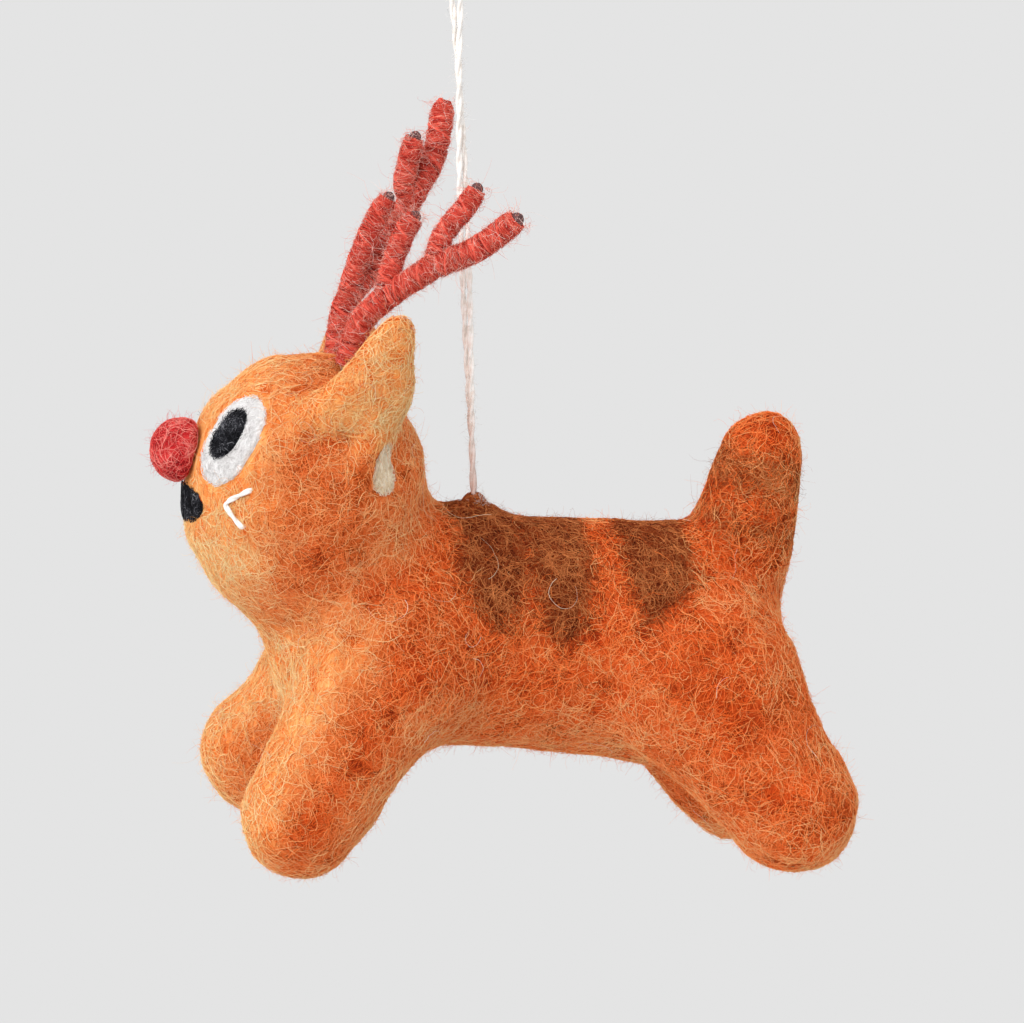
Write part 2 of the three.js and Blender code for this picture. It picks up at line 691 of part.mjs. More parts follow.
const pieces = [
  ['torso', geometryOf(torsoSkin.subtract(knotSeat)), felt],
  ['head', geometryOf(headSkin), felt],
  ['left_front_leg', limb(leftForelegForm), felt],
  ['right_front_leg', limb(rightForelegForm), felt],
  ['left_hind_leg', limb(leftHindlegForm), felt],
  ['right_hind_leg', limb(rightHindlegForm), felt],
  ['tail', geometryOf(tailSkin), felt],
  ['left_ear', geometryOf(solidOf(leftEarForm(0)).subtract(headKeepOut)), felt],
  ['right_ear', geometryOf(solidOf(rightEarForm(0)).subtract(headKeepOut)), felt],
  ['left_ear_lining', geometryOf(lining(-1, leftEarForm)), cream],
  ['right_ear_lining', geometryOf(lining(1, rightEarForm)), cream],
  ['nose_ball', geometryOf(noseBall), red],
  ['mouth_patch', geometryOf(headPatch.intersect(mouthOutline).subtract(noseKeepOut)), black],
  ['left_eye_white', eyeWhite(-1), white],
  ['right_eye_white', eyeWhite(1), white],
  ['left_pupil', pupil(-1), black],
  ['right_pupil', pupil(1), black],
  ['left_whisker_stitch', whisker(-1), whiteYarn],
  ['right_whisker_stitch', whisker(1), whiteYarn],
  ['front_back_stripe', backStripe(frontStripeBehind, frontStripeWidth, frontStripeReach), brown],
  ['middle_back_stripe', backStripe(middleStripeBehind, middleStripeWidth, middleStripeReach), brown],
  ['rear_back_stripe', backStripe(bodyLength - rearStripeAhead, rearStripeWidth, rearStripeReach), brown],
  ['upper_tail_band', geometryOf(tailBand(upperBandDown, upperBandWidth)), brown],
  ['lower_tail_band', geometryOf(tailBand(lowerBandDown, lowerBandWidth)), brown],
  ...leftSet.rows,
  ...rightSet.rows,
  ['hanging_knot', ball(knotDiameter, knotMiddle, knotFacets), whiteYarn],
  ['hanging_cord', tubeAlong(cordRoute, cordDiameter, cordSides, cordSteps), whiteYarn],
];

const ornament = new THREE.Group();
ornament.position.z = -hangLength - knotMiddle.z;
pieces.forEach(([name, geometry, material]) => {
  const mesh = new THREE.Mesh(geometry, material);
  mesh.name = name;
  ornament.add(mesh);
});

export default ornament;
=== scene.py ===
import math

import bpy
import numpy as np
from mathutils import Matrix, Vector
from mathutils.bvhtree import BVHTree
from mathutils.kdtree import KDTree


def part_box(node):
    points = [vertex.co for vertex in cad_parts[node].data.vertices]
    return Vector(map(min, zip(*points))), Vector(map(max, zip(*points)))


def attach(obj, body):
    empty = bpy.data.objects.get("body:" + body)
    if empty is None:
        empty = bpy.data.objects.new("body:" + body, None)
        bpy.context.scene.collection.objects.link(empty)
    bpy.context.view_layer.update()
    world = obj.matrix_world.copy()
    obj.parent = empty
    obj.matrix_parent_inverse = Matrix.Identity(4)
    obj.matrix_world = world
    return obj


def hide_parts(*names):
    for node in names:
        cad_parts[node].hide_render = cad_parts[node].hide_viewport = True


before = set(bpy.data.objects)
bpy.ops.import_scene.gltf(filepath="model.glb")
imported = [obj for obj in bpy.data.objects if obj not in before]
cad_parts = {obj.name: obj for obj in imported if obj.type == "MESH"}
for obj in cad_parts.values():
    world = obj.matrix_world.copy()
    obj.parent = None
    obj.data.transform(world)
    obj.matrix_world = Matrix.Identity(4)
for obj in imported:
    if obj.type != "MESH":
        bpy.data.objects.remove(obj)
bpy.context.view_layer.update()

# Sizes are in metres, with MM for small ones. The frame has the cat facing -X and its left side at -Y
MM = 0.001
SIDES = {"left": -1, "right": 1}
rng = np.random.default_rng(24)

# Camera, as the photograph was taken
PHOTO_SIZE = (1024, 1023)
KNOT_PIXEL = (474, 505)
PIXEL = 0.155 * MM  # one pixel of the photograph at the cat
CAMERA_TURN = math.radians(-11)
CAMERA_LIFT = math.radians(9)
CAMERA_ROLL = math.radians(1.94)
CAMERA_DISTANCE = 650 * MM
CAMERA_NEAREST = 10 * MM
SENSOR = 36.0

# Light, floor and background
SUN_FROM = (-0.66, -0.58, 0.48)
SUN_STRENGTH = 1.85
SUN_ANGLE = math.radians(50)
SKY_STRENGTH = 0.95
BACKGROUND = (0.775, 0.775, 0.775)
FLOOR_COLOUR = (0.629, 0.629, 0.629)
FLOOR_HEIGHT = -1.6
FLOOR_SIZE = 120.0

# Hanging cord: each spot has its drop below the loop's inside top in mm, the turn of the pair and its spread
HANG = 90 * MM
KNOT = np.array([0, 0, -HANG])
CORD_DIAMETER = 0.7 * MM
CORD_STEP = 0.25 * MM
STRAND_REACH = 0.525 * MM
CORD_SPOTS = [
    (0.4, 360, 3.4), (2.8, 360, 4.6), (6.5, 360, 3.2), (11, 345, 1.5), (16, 312, 1), (22, 272, 1),
    (30, 236, 1), (39, 204, 1), (48, 176, 1), (57, 148, 1), (66, 120, 1), (75, 96, 1), (81.15, 78, 1),
    (88.2, 70, 1),
]
STAIN_TOP = -72 * MM  # wool colour on the cord, from here down to the wool
STAIN_END = -88 * MM
STAIN_SHARE = 0.55

# Yarns of two plies: a ply's radius, its offset, the length of one full twist and the sides of a ply
CORD_PLIES = (0.29 * MM, 0.22 * MM, 9 * MM, 8)
KNOT_PLIES = (0.34 * MM, 0.2 * MM, 2.6 * MM, 10)
WHISKER_PLIES = (0.28 * MM, 0.16 * MM, 6 * MM, 8)

# Wool drawn up round the knot: a mound and its peak, each with its middle and radii, and a ball of fibres
MOUNDS = np.array([[(-2.6, 0, -93.5), (7, 5, 3.2)], [(0, 0, -91.7), (2.4, 2.4, 2.2)]]) * MM
MOUND_BLEND = 3 * MM
KNOT_WOOL_RADIUS = 1.75 * MM
KNOT_WOOL_REACH = 4 * MM
KNOT_WOOL_STEP = 0.25 * MM

# Head: spots on it have a turn from the nose and a lift in degrees, and the ear's fold has a radius in mm too
HEAD_MIDDLE = np.array([-26.3, 0, -86.66]) * MM
HEAD_RADII = np.array([18.9, 19.3, 21.9]) * MM
EAR_FOLD = [(131, 44, 2.1), (124, 33, 2.1), (114, 24, 1.9), (106, 15, 1.3)]
EAR_FOLD_BLEND = 2 * MM
ANTLER_SPOT = (138, 64)
WHISKER_SPOTS = [(57, 9.6), (49.5, 6.6), (44, 4.4), (42.8, 3), (44.4, 1), (48.4, -2.4), (52.4, -5.8)]
WHISKER_HEIGHT = 0.42 * MM
WHISKER_DIP = 1.4 * MM

# Antlers: points of each beam from its root and of each tine from its fork, in mm back, right and up
ROOT_GAP = 0.6 * MM
ROUTE_STEP = 0.2 * MM
BEAM_REACH = 1.7 * MM
TINE_REACH = 1.46 * MM
BEAM_WIRE = 0.8 * MM
TINE_WIRE = 0.6 * MM
BEAM_CAP = 1.1 * MM
TINE_CAP = 0.95 * MM
WIRE_SIDES = 14
YARN_RADIUS = 0.2 * MM
YARN_SIDES = 6
YARN_PITCH = 0.36 * MM
YARN_STEPS = 16  # in one turn
OVER_PITCH = 4.5 * MM
OVER_STEPS = 24
OVER_LIFT = 0.12 * MM
BARE_TIP = 1.1 * MM
COVERED_TIP = 0.1 * MM
HIDDEN_POINTS = 8  # left off a beam whose wire ends inside its yarn
CORE_STEP = 0.5 * MM
CORE_DEPTH = 0.12 * MM
BINDING_BELOW = 1.6 * MM
BINDING_ABOVE = 4.8 * MM
ANTLERS = {
    "left": {
        "beam": [
            (0, 0, 0), (2.2, -1.1, 6.6), (5.6, -3.2, 10.2), (9.6, -5, 13), (12.7, -6.6, 15),
            (18.8, -9.6, 17.6), (25.4, -12.6, 22.6),
        ],
        "front": [(0, 0, 0), (1.1, 0.5, 3.9), (2.5, 0.9, 7.4), (3.9, 1.2, 10.2), (6, 1.5, 12.8)],
        "middle": [(0, 0, 0), (1.5, 0.2, 4.4), (3.4, 0.1, 6.8), (5.6, 0, 9.2), (7.6, 0, 12.2)],
        "forks": (2, 4),
        "stretches": ("lower", "tip"),
        "bare_tip": True,
    },
    "right": {
        "beam": [
            (0, 0, 0), (1, 0.5, 4.4), (2.3, 1.1, 8.6), (6.5, 2.3, 13), (10.3, 3.6, 18.5),
            (13.6, 5.1, 23.2), (17.7, 6.6, 29.6), (20.2, 8.6, 38.4),
        ],
        "front": [(0, 0, 0), (1.4, -1.4, 5), (2.8, -2.2, 8.7), (4.4, -2.8, 12.2), (7.2, -3.2, 16.6)],
        "middle": [(0, 0, 0), (-1, -0.5, 2.4), (-0.5, -1, 5.2), (0.4, -1.3, 8.6), (1.2, -1.5, 10.8)],
        "forks": (2, 5),
        "stretches": ("lower", "middle", "tip"),
        "bare_tip": False,
    },
}

# Felt: the forms in the order they are felted on, with how softly each blends into those before and its swell
FORMS = {
    "torso": (0, 0),
    "head": (6 * MM, 0),
    **{f"{side}_{end}_leg": (6 * MM, 0) for end in ("front", "hind") for side in SIDES},
    "tail": (2.6 * MM, 0.2 * MM),
    "left_ear": (4 * MM, 0.1 * MM),
    "right_ear": (1.5 * MM, 0),
}
FORM_NAMES = list(FORMS)
EARS = {f"{name}_ear": side for name, side in SIDES.items()}
GRID_STEP = 1.0 * MM
GRID_REACH = 7 * MM
GRID_MARGIN = GRID_REACH + 0.137 * MM  # an odd size, so that no line of the grid runs along a flat face
RAY_STEP = 0.002 * MM
LEAST_BLEND = 0.01 * MM
NOSE_STEP = 0.5 * MM
SOFT_PASSES = 3
FELT_DEPTH = 0.05 * MM  # the skin lies this far under the forms, so that its fibres reach them
OUTLINE_REACH = 4 * MM
RIM_STEP = 0.25 * MM

# Tones of the orange wool: its mean shade, and the painted light that lightens it and turns it to painted lit
# colours: most on the front facing the key light, under the cat, at its rear, on its head and on its ears
MEAN_SHADE = 0.49
PAINTED_LIGHT_LIFT = 0.12
UNDER_PAINTED_LIFT = 0.28
REAR_PAINTED_LIFT = 0.12
FRONT_PAINTED_LIGHT = 1.3
UNDER_PAINTED_LIGHT = 0.2
REAR_PAINTED_LIGHT = 0.25
HEAD_PAINTED_LIGHT = 0.14
EAR_PAINTED_LIGHT = 0.55
EAR_SIDE_PAINTED_LIGHT = 0.45

# Random waves: height, cell and seed, or cell and seed alone
FELT_LUMPS = [(0.5 * MM, 9 * MM, 1), (0.38 * MM, 4.4 * MM, 2)]
NOSE_LUMPS = [(0.16 * MM, 2.6 * MM, 21)]
PATCHY = [(0.06, 7 * MM, 5), (0.08, 2.6 * MM, 6)]
# Small dark spots of painted shade, as in needle holes
PAINTED_PIT_SHADE = (1.5 * MM, 8)
CLUMPS = (0.9 * MM, 7)
# A random wave in the painted light
PAINTED_LIGHT_WAVE = (5 * MM, 10)
EDGE_WAVE = (1.6 * MM, 11)
PATCH_WAVE = (2 * MM, 9)

# Fibres matted into the felt, and hairs with loose ends
FIBRE_RADIUS = 0.054 * MM
FIBRES = 92000
FIBRE_STEPS = 5
FIBRE_WAVE = 0.08 * MM
STRAYS = 70
STRAY_STEPS = 24
MOST_FIBRES = 4600  # in one piece
# Painted shade: fibres lower in the mat are drawn darker, as if shaded by the fibres over them
PAINTED_DEPTH_SHADE = 0.85  # how much lighter the uppermost fibres are than those under them
HAIR_RADIUS = 0.022 * MM
THICK_HAIR = 0.035 * MM
KNOT_HAIR = 0.03 * MM
ANTLER_HAIR = 0.026 * MM
HAIRS = 36000
HAIR_STEPS = 6
CORD_HAIRS = 1300
KNOT_HAIRS = 120
PUPIL_HAIRS = 160
NOSE_FIBRES = 1500
NOSE_HAIRS = 420
KNOT_FIBRES = 1400
ANTLER_FIBRES = 40  # on one millimetre
ANTLER_HAIRS = 44

# Marks: strength, reach over the outline, fade and the height in which the lower end thins out
MARKS = {
    "front_back_stripe": (0.95, 0.7 * MM, 1.8 * MM, 9 * MM),
    "middle_back_stripe": (0.95, 0.7 * MM, 1.8 * MM, 6 * MM),
    "rear_back_stripe": (0.95, 0.7 * MM, 1.8 * MM, 5 * MM),
    "upper_tail_band": (0.5, 2.6 * MM, 4.4 * MM, 0.1 * MM),
    "lower_tail_band": (0.4, 1.6 * MM, 3.4 * MM, 0.1 * MM),
}
MARK_LOOKS = {"stripe": ("brown", 9000, 0.0), "band": ("light_brown", 7000, 0.14)}  # skin, fibres and shade
MARK_SKIN = (0.06 * MM, 1.2 * MM, 0.6 * MM, -1.1 * MM)  # height, edge, raggedness and growth

# Patches: colour, height, raggedness, fibres, the range of their lengths in mm and their overhang
EYE_WHITE = ("white", 0.4 * MM, 0.15 * MM, 2600, (1, 3), 0.35 * MM)
PUPIL = ("black", 0.8 * MM, 0.2 * MM, 1500, (0.8, 2.2), 0.35 * MM)
EAR_LINING = ("cream", 0.35 * MM, 0.15 * MM, 1500, (0.8, 2.4), 0.6 * MM)
MOUTH = ("black", 0.3 * MM, 0.25 * MM, 1500, (0.8, 2.6), 0.5 * MM)
PATCH_EDGE = 0.8 * MM
PATCH_SINK = 0.15 * MM
PATCH_ROOT = 0.6 * MM
PATCH_MARGIN = 3 * MM  # of skin about a patch, before it is cut to its outline
COVER_GAP = 0.4 * MM  # from the roots of the orange wool to the pieces that cover the felt
FIBRE_GAP = 0.1 * MM
COVERS = [
    "left_eye_white", "right_eye_white", "mouth_patch", "left_ear_lining", "right_ear_lining", "nose_ball",
]

# Colours of the wools and the wire from dark to light
ORANGES = [(124, 32, 6), (218, 80, 22), (255, 116, 46), (255, 148, 78), (255, 190, 124)]
# The yellow shades are painted lit copies of the orange ones, mixed in where painted light falls
PAINTED_LIT_ORANGES = [(242, 108, 38), (255, 148, 68), (255, 184, 110), (255, 207, 138), (255, 229, 174)]
# The skin's shades are darker than the fibres': partly the felt's own deeper colour, partly painted shade in
# the gaps between fibres
SKIN_ORANGES = [(138, 40, 10), (188, 62, 18), (224, 90, 32), (248, 140, 74)]
# The skin's yellow shades are painted lit copies of its orange ones too
PAINTED_LIT_SKIN_ORANGES = [(228, 104, 38), (252, 145, 66), (255, 180, 104), (255, 208, 142)]
BROWNS = [(64, 18, 4), (114, 41, 11), (156, 69, 28), (214, 130, 74)]
STRIPE_BROWNS = [(64, 22, 6), (88, 32, 10), (116, 48, 16)]
BAND_BROWNS = [(146, 56, 18), (172, 72, 26), (200, 90, 34)]
WHITES = [(222, 217, 216), (238, 235, 234), (248, 246, 245), (254, 253, 252)]
BLACKS = [(8, 8, 10), (22, 22, 26), (54, 54, 60), (150, 150, 156)]
CREAMS = [(222, 194, 156), (242, 220, 186), (252, 238, 214), (255, 248, 234)]
REDS = [(132, 14, 22), (204, 40, 44), (242, 84, 80), (253, 158, 146)]
YARN_REDS = [(112, 22, 20), (190, 56, 46), (236, 102, 84), (255, 166, 144)]
FUZZ_REDS = [(206, 66, 50), (238, 112, 90), (250, 176, 156), (254, 228, 218)]
YARN_WHITES = [(226, 216, 207), (242, 235, 228), (251, 247, 243), (255, 253, 250)]
WIRE_BROWNS = [(60, 32, 34), (92, 54, 54), (140, 96, 96)]
STAIN = (190, 130, 106)

# Wools: colours, scale and share of the clouds in them, bump of the grain and the painted lit colours
SKIN_LOOKS = {
    "orange": (SKIN_ORANGES, 140, 0.2, 0.9, PAINTED_LIT_SKIN_ORANGES),
    "brown": (STRIPE_BROWNS, 400, 0.5, 0.9),
    "light_brown": (BAND_BROWNS, 400, 0.5, 0.9),
    "white": (WHITES, 500, 0.4, 0.5),
    "black": (BLACKS[:3], 500, 0.5, 0.9),
    "cream": (CREAMS, 500, 0.4, 0.7),
    "red": (REDS[:3], 300, 0.5, 0.9),
}
FIBRE_LOOKS = {
    "orange": (ORANGES, 110, 0.12, 0, PAINTED_LIT_ORANGES),
    "brown": (BROWNS, 300, 0.15),
    "white": (WHITES, 500, 0.2),
    "black": (BLACKS, 500, 0.2),
    "cream": (CREAMS, 500, 0.2),
    "red": (REDS, 300, 0.2),
}
GRAIN_SCALE = 1500
GRAIN_DISTORTION = 1.5
GRAIN_DEPTH = 0.4 * MM
WIRE_GRAIN = 1600


# Camera

def add_camera():
    data = bpy.data.cameras.new("photo_camera")
    data.sensor_fit = "HORIZONTAL"
    data.sensor_width = SENSOR
    data.lens = SENSOR * CAMERA_DISTANCE / PIXEL / PHOTO_SIZE[0]
    data.clip_start = CAMERA_NEAREST
    camera = bpy.data.objects.new("photo_camera", data)
    pose = Matrix.Translation(KNOT)
    for angle, axis in ((CAMERA_TURN, "Z"), (math.pi / 2 - CAMERA_LIFT, "X"), (-CAMERA_ROLL, "Z")):
        pose = pose @ Matrix.Rotation(angle, 4, axis)
    beside, below = ((pixel - size / 2) * PIXEL for pixel, size in zip(KNOT_PIXEL, PHOTO_SIZE))
    camera.matrix_world = pose @ Matrix.Translation((-beside, below, CAMERA_DISTANCE))
    bpy.context.collection.objects.link(camera)
    bpy.context.scene.camera = camera


add_camera()


# Meshes

def unit(vectors):
    return vectors / np.maximum(np.linalg.norm(vectors, axis=-1, keepdims=True), 1e-12)


# A mesh that rides on a body, with the shade and the painted light of its wool at each point
def add_piece(name, points, faces, material, body, shade=0.5, painted_light=0.0, layout=None, normals=None):
    mesh = bpy.data.meshes.new(name)
    mesh.vertices.add(len(points))
    mesh.vertices.foreach_set("co", np.asarray(points, np.float32).ravel())
    mesh.loops.add(faces.size)
    mesh.loops.foreach_set("vertex_index", faces.astype(np.int32).ravel())
    mesh.polygons.add(len(faces))
    mesh.polygons.foreach_set("loop_start", np.arange(len(faces), dtype=np.int32) * faces.shape[1])
    mesh.update(calc_edges=True)
    mesh.polygons.foreach_set("use_smooth", np.ones(len(faces), bool))
    tones = np.zeros((len(points), 3), np.float32)
    tones[:, 0] = shade
    tones[:, 1] = painted_light
    mesh.attributes.new("tones", "FLOAT_VECTOR", "POINT").data.foreach_set("vector", tones.ravel())
    if layout is not None:
        mesh.uv_layers.new(name="OFBake").data.foreach_set("uv", np.asarray(layout, np.float32).ravel())
    if normals is not None:
        mesh.normals_split_custom_set_from_vertices(normals.tolist())
    mesh.materials.append(material)
    piece = bpy.data.objects.new(name, mesh)
    bpy.context.collection.objects.link(piece)
    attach(piece, body)
    return piece


# Hides the CAD node that a piece stands in for
def stand_for(node):
    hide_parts(node)


def joined(*parts):
    points = np.vstack([part[0] for part in parts])
    starts = np.cumsum([0] + [len(part[0]) for part in parts[:-1]])
    faces = np.vstack([part[1] + start for part, start in zip(parts, starts)])
    return points, faces


def triangles_of(quads):
    return np.vstack([quads[:, [0, 1, 2]], quads[:, [0, 2, 3]]])


# A smooth line through points, drawn evenly
def smooth_route(points, spacing):
    points = np.asarray(points, float)
    ends = np.vstack([2 * points[0] - points[1], points, 2 * points[-1] - points[-2]])
    t = np.linspace(0, 1, 24, endpoint=False)[:, None]
    spans = []
    for p0, p1, p2, p3 in zip(ends, ends[1:], ends[2:], ends[3:]):
        d0, d1, d2 = (np.linalg.norm(b - a) ** 0.5 for a, b in ((p0, p1), (p1, p2), (p2, p3)))
        m1 = ((p1 - p0) / d0 - (p2 - p0) / (d0 + d1) + (p2 - p1) / d1) * d1
        m2 = ((p2 - p1) / d1 - (p3 - p1) / (d1 + d2) + (p3 - p2) / d2) * d1
        near = (2 * t ** 3 - 3 * t ** 2 + 1) * p1 + (t ** 3 - 2 * t ** 2 + t) * m1
        spans.append(near + (3 * t ** 2 - 2 * t ** 3) * p2 + (t ** 3 - t ** 2) * m2)
    route = np.vstack([*spans, points[-1:]])
    length = length_of(route)
    return at_lengths(route, route, np.linspace(0, length, max(3, round(length / spacing))))


def lengths_along(route):
    return np.r_[0, np.cumsum(np.linalg.norm(np.diff(route, axis=0), axis=1))]


def length_of(route):
    return lengths_along(route)[-1]


# Vectors that are given at a route's points, at other lengths along it
def at_lengths(route, vectors, places):
    lengths = lengths_along(route)
    return np.stack([np.interp(places, lengths, vectors[:, axis]) for axis in range(3)], axis=-1)


# Two directions across a route at each of its points, carried along it without twisting
def across_route(route):
    along = unit(np.gradient(route, axis=0))
    first = np.array([1.0, 0.0, 0.0] if abs(along[0, 1]) > 0.9 else [0.0, 1.0, 0.0])
    sides = np.empty_like(route)
    for index, direction in enumerate(along):
        first = first - direction * first.dot(direction)
        first = first / np.linalg.norm(first)
        sides[index] = first
    return sides, np.cross(along, sides)


# The directions out from a route at angles round it
def outward(angle, side, lift):
    angle = angle[..., None]
    return np.cos(angle) * side + np.sin(angle) * lift


# Spots round a route at lengths along it, angles round it and distances from it, with the ways outward
def spots_round(route, places, angle, reach):
    centre, side, lift = (at_lengths(route, vectors, places) for vectors in (route, *across_route(route)))
    out = outward(angle, side, lift)
    return centre + out * np.asarray(reach)[..., None], out


# A closed tube along a route, as points and triangles
def tube(route, radius, sides):
    count = len(route)
    side, lift = across_route(route)
    ring = outward(2 * math.pi * np.arange(sides) / sides, side[:, None], lift[:, None])
    points = (route[:, None] + np.broadcast_to(radius, count)[:, None, None] * ring).reshape(-1, 3)
    i, j = np.meshgrid(np.arange(count - 1), np.arange(sides), indexing="ij")
    a, b = i * sides + j, i * sides + (j + 1) % sides
    walls = triangles_of(np.stack([a, b, b + sides, a + sides], -1).reshape(-1, 4))
    here = np.arange(sides)
    after = (here + 1) % sides
    end = (count - 1) * sides
    middle = np.full(sides, len(points))
    low = np.stack([after, here, middle], -1)
    high = np.stack([here + end, after + end, middle + 1], -1)
    return np.vstack([points, route[:1], route[-1:]]), np.vstack([walls, low, high])


# Two plies twisted round a route
def plied(route, radius, offset, twist, sides):
    side, lift = across_route(route)
    turn = 2 * math.pi * lengths_along(route) / twist
    plies = [route + offset * outward(start + turn, side, lift) for start in (0, math.pi)]
    return joined(*[tube(ply, radius, sides) for ply in plies])


# Many thin fibres at once: paths of n fibres with m points each, as points, quads and a bake layout
def fibres(paths, radii, up):
    count, steps, _ = paths.shape
    along = unit(np.gradient(paths, axis=1))
    side = unit(np.cross(along, up[:, None]))
    lift = np.cross(side, along)
    ring = outward(2 * math.pi * np.arange(3) / 3, side[:, :, None], lift[:, :, None])
    points = (paths[:, :, None] + radii[:, :, None, None] * ring).reshape(-1, 3)
    f, i, j = np.meshgrid(np.arange(count), np.arange(steps - 1), np.arange(3), indexing="ij")
    a = (f * steps + i) * 3 + j
    b = (f * steps + i) * 3 + (j + 1) % 3
    faces = np.stack([a, b, b + 3, a + 3], -1).reshape(-1, 4)
    columns = math.ceil(math.sqrt(count))
    u = (i[..., None] + np.array([0, 0, 1, 1])) / (steps - 1)
    v = (j[..., None] + np.array([0, 1, 1, 0])) / 3
    column, row = f[..., None] % columns, f[..., None] // columns
    layout = np.stack([(column + 0.04 + 0.92 * u) / columns, (row + 0.04 + 0.92 * v) / columns], -1)
    return points, faces, layout.reshape(-1, 2)


# Fibres in pieces, each fibre with its shade and its painted light
def add_fibres(name, paths, radii, up, shades, material, body, painted_light=0.0):
    pieces = []
    groups = math.ceil(len(paths) / MOST_FIBRES)
    painted_lights = np.broadcast_to(painted_light, len(paths))
    for group in range(groups):
        part = slice(group, None, groups)
        points, faces, layout = fibres(paths[part], radii[part], up[part])
        tones = [np.repeat(values[part], paths.shape[1] * 3) for values in (shades, painted_lights)]
        label = name if groups == 1 else f"{name}_{group + 1}"
        pieces.append(add_piece(label, points, faces, material, body, *tones, layout))
    return pieces


# Paths of hairs with loose ends: each sets out in its heading and curls
def free_hairs(starts, heading, length, curl):
    count = len(starts)
    axis = unit(np.cross(heading, rng.normal(size=(count, 3))))
    bend = rng.normal(0, curl, count)
    paths = np.empty((count, HAIR_STEPS, 3))
    place = starts
    for step in range(HAIR_STEPS):
        paths[:, step] = place
        place = place + heading * (length / (HAIR_STEPS - 1))[:, None]
        angle = (bend + rng.normal(0, 0.25, count))[:, None]
        heading = unit(heading * np.cos(angle) + np.cross(axis, heading) * np.sin(angle))
        axis = unit(np.cross(heading, np.cross(axis + 0.4 * rng.normal(size=(count, 3)), heading)))
    return paths


def add_hairs(name, paths, radius, material, body, shade=(0.5, 0.2), painted_light=0.0):
    count, steps, _ = paths.shape
    up = unit(rng.normal(size=(count, 3)))
    shades = np.clip(rng.normal(*shade, count), 0, 1)
    radii = radius * rng.uniform(0.75, 1.25, (count, 1)) * np.linspace(1, 0.35, steps)
    return add_fibres(name, paths, radii, up, shades, material, body, painted_light)


# Smooth random bumps between -1 and 1, with one hashed value for each cell corner
def bumps(points, cell, seed):
    at = np.asarray(points) / cell + 500
    base = np.floor(at).astype(np.int64)
    share = at - base
    share = share * share * (3 - 2 * share)
    total = 0
    for corner in np.ndindex(2, 2, 2):
        x, y, z = (base + corner).reshape(-1, 3).T
        mix = (x * 73856093) ^ (y * 19349663) ^ (z * 83492791) ^ (seed * 2654435761)
        mix = ((mix ^ (mix >> 13)) * 1274126177) & 0x7FFFFFFF
        mix = ((mix ^ (mix >> 15)) * 668265263) & 0x7FFFFFFF
        value = (mix / 0x3FFFFFFF - 1).reshape(base.shape[:-1])
        total = total + value * np.prod(np.where(corner, share, 1 - share), axis=-1)
    return total


# Materials

# Sets inputs of a shader node to values, or links them to outputs of other nodes
def feed(tree, node, inputs):
    for name, value in inputs.items():
        if isinstance(value, bpy.types.NodeSocket):
            tree.links.new(value, node.inputs[name])
        else:
            node.inputs[name].default_value = value
    return node


def add_node(tree, kind, inputs, **settings):
    node = tree.nodes.new(f"ShaderNode{kind}")
    for name, value in settings.items():
        setattr(node, name, value)
    return feed(tree, node, inputs)


def new_material(name):
    material = bpy.data.materials.new(name)
    material.use_nodes = True
    tree = material.node_tree
    return material, tree, tree.nodes["Principled BSDF"]


def linear(colour):
    share = np.array(colour) / 255
    return tuple(np.where(share <= 0.04045, share / 12.92, ((share + 0.055) / 1.055) ** 2.4))


def ramp_of(tree, share, colours):
    ramp = add_node(tree, "ValToRGB", {"Fac": share})
    elements = ramp.color_ramp.elements
    while len(elements) < len(colours):
        elements.new(0.5)
    for index, colour in enumerate(colours):
        elements[index].position = index / (len(colours) - 1)
        elements[index].color = (*linear(colour), 1)
    return ramp.outputs["Color"]


def mixed(tree, share, one, other):
    return add_node(tree, "Mix", {"Factor": share, "A": one, "B": other}, data_type="RGBA").outputs["Result"]


def object_spot(tree):
    return add_node(tree, "TexCoord", {}).outputs["Object"]


def noise_of(tree, scale, detail, distortion=0):
    inputs = {"Scale": scale, "Detail": detail, "Roughness": 0.6, "Distortion": distortion}
    return add_node(tree, "TexNoise", {"Vector": object_spot(tree), **inputs}).outputs["Fac"]


# Wool: shades from dark to light, chosen by each point's own shade and by soft clouds over the piece.
# Where the piece's painted light is above 0, the shades turn to their painted lit copies
def wool(name, colours, cloud_scale, cloud_share, bump=0, painted_lit=None):
    material, tree, shader = new_material(name)
    swing = {"From Min": 0.3, "From Max": 0.7, "To Min": -cloud_share, "To Max": cloud_share}
    clouds = add_node(tree, "MapRange", {"Value": noise_of(tree, cloud_scale, 3), **swing}).outputs["Result"]
    attribute = add_node(tree, "Attribute", {}, attribute_name="tones").outputs["Vector"]
    tones = add_node(tree, "SeparateXYZ", {"Vector": attribute}).outputs
    shade = add_node(tree, "Math", {0: clouds, 1: tones["X"]}, operation="ADD").outputs["Value"]
    colour = ramp_of(tree, shade, colours)
    if painted_lit:
        colour = mixed(tree, tones["Y"], colour, ramp_of(tree, shade, painted_lit))
    feed(tree, shader, {"Base Color": colour, "Roughness": 0.9, "Specular IOR Level": 0.15})
    if bump:
        grain = noise_of(tree, GRAIN_SCALE, 4, GRAIN_DISTORTION)
        raised = add_node(tree, "Bump", {"Strength": bump, "Distance": GRAIN_DEPTH, "Height": grain})
        feed(tree, shader, {"Normal": raised.outputs["Normal"]})
    return material


def wire_material():
    material, tree, shader = new_material("dark_wire")
    colour = ramp_of(tree, noise_of(tree, WIRE_GRAIN, 3), WIRE_BROWNS)
    feed(tree, shader, {"Base Color": colour, "Roughness": 0.55, "Specular IOR Level": 0.4})
    return material


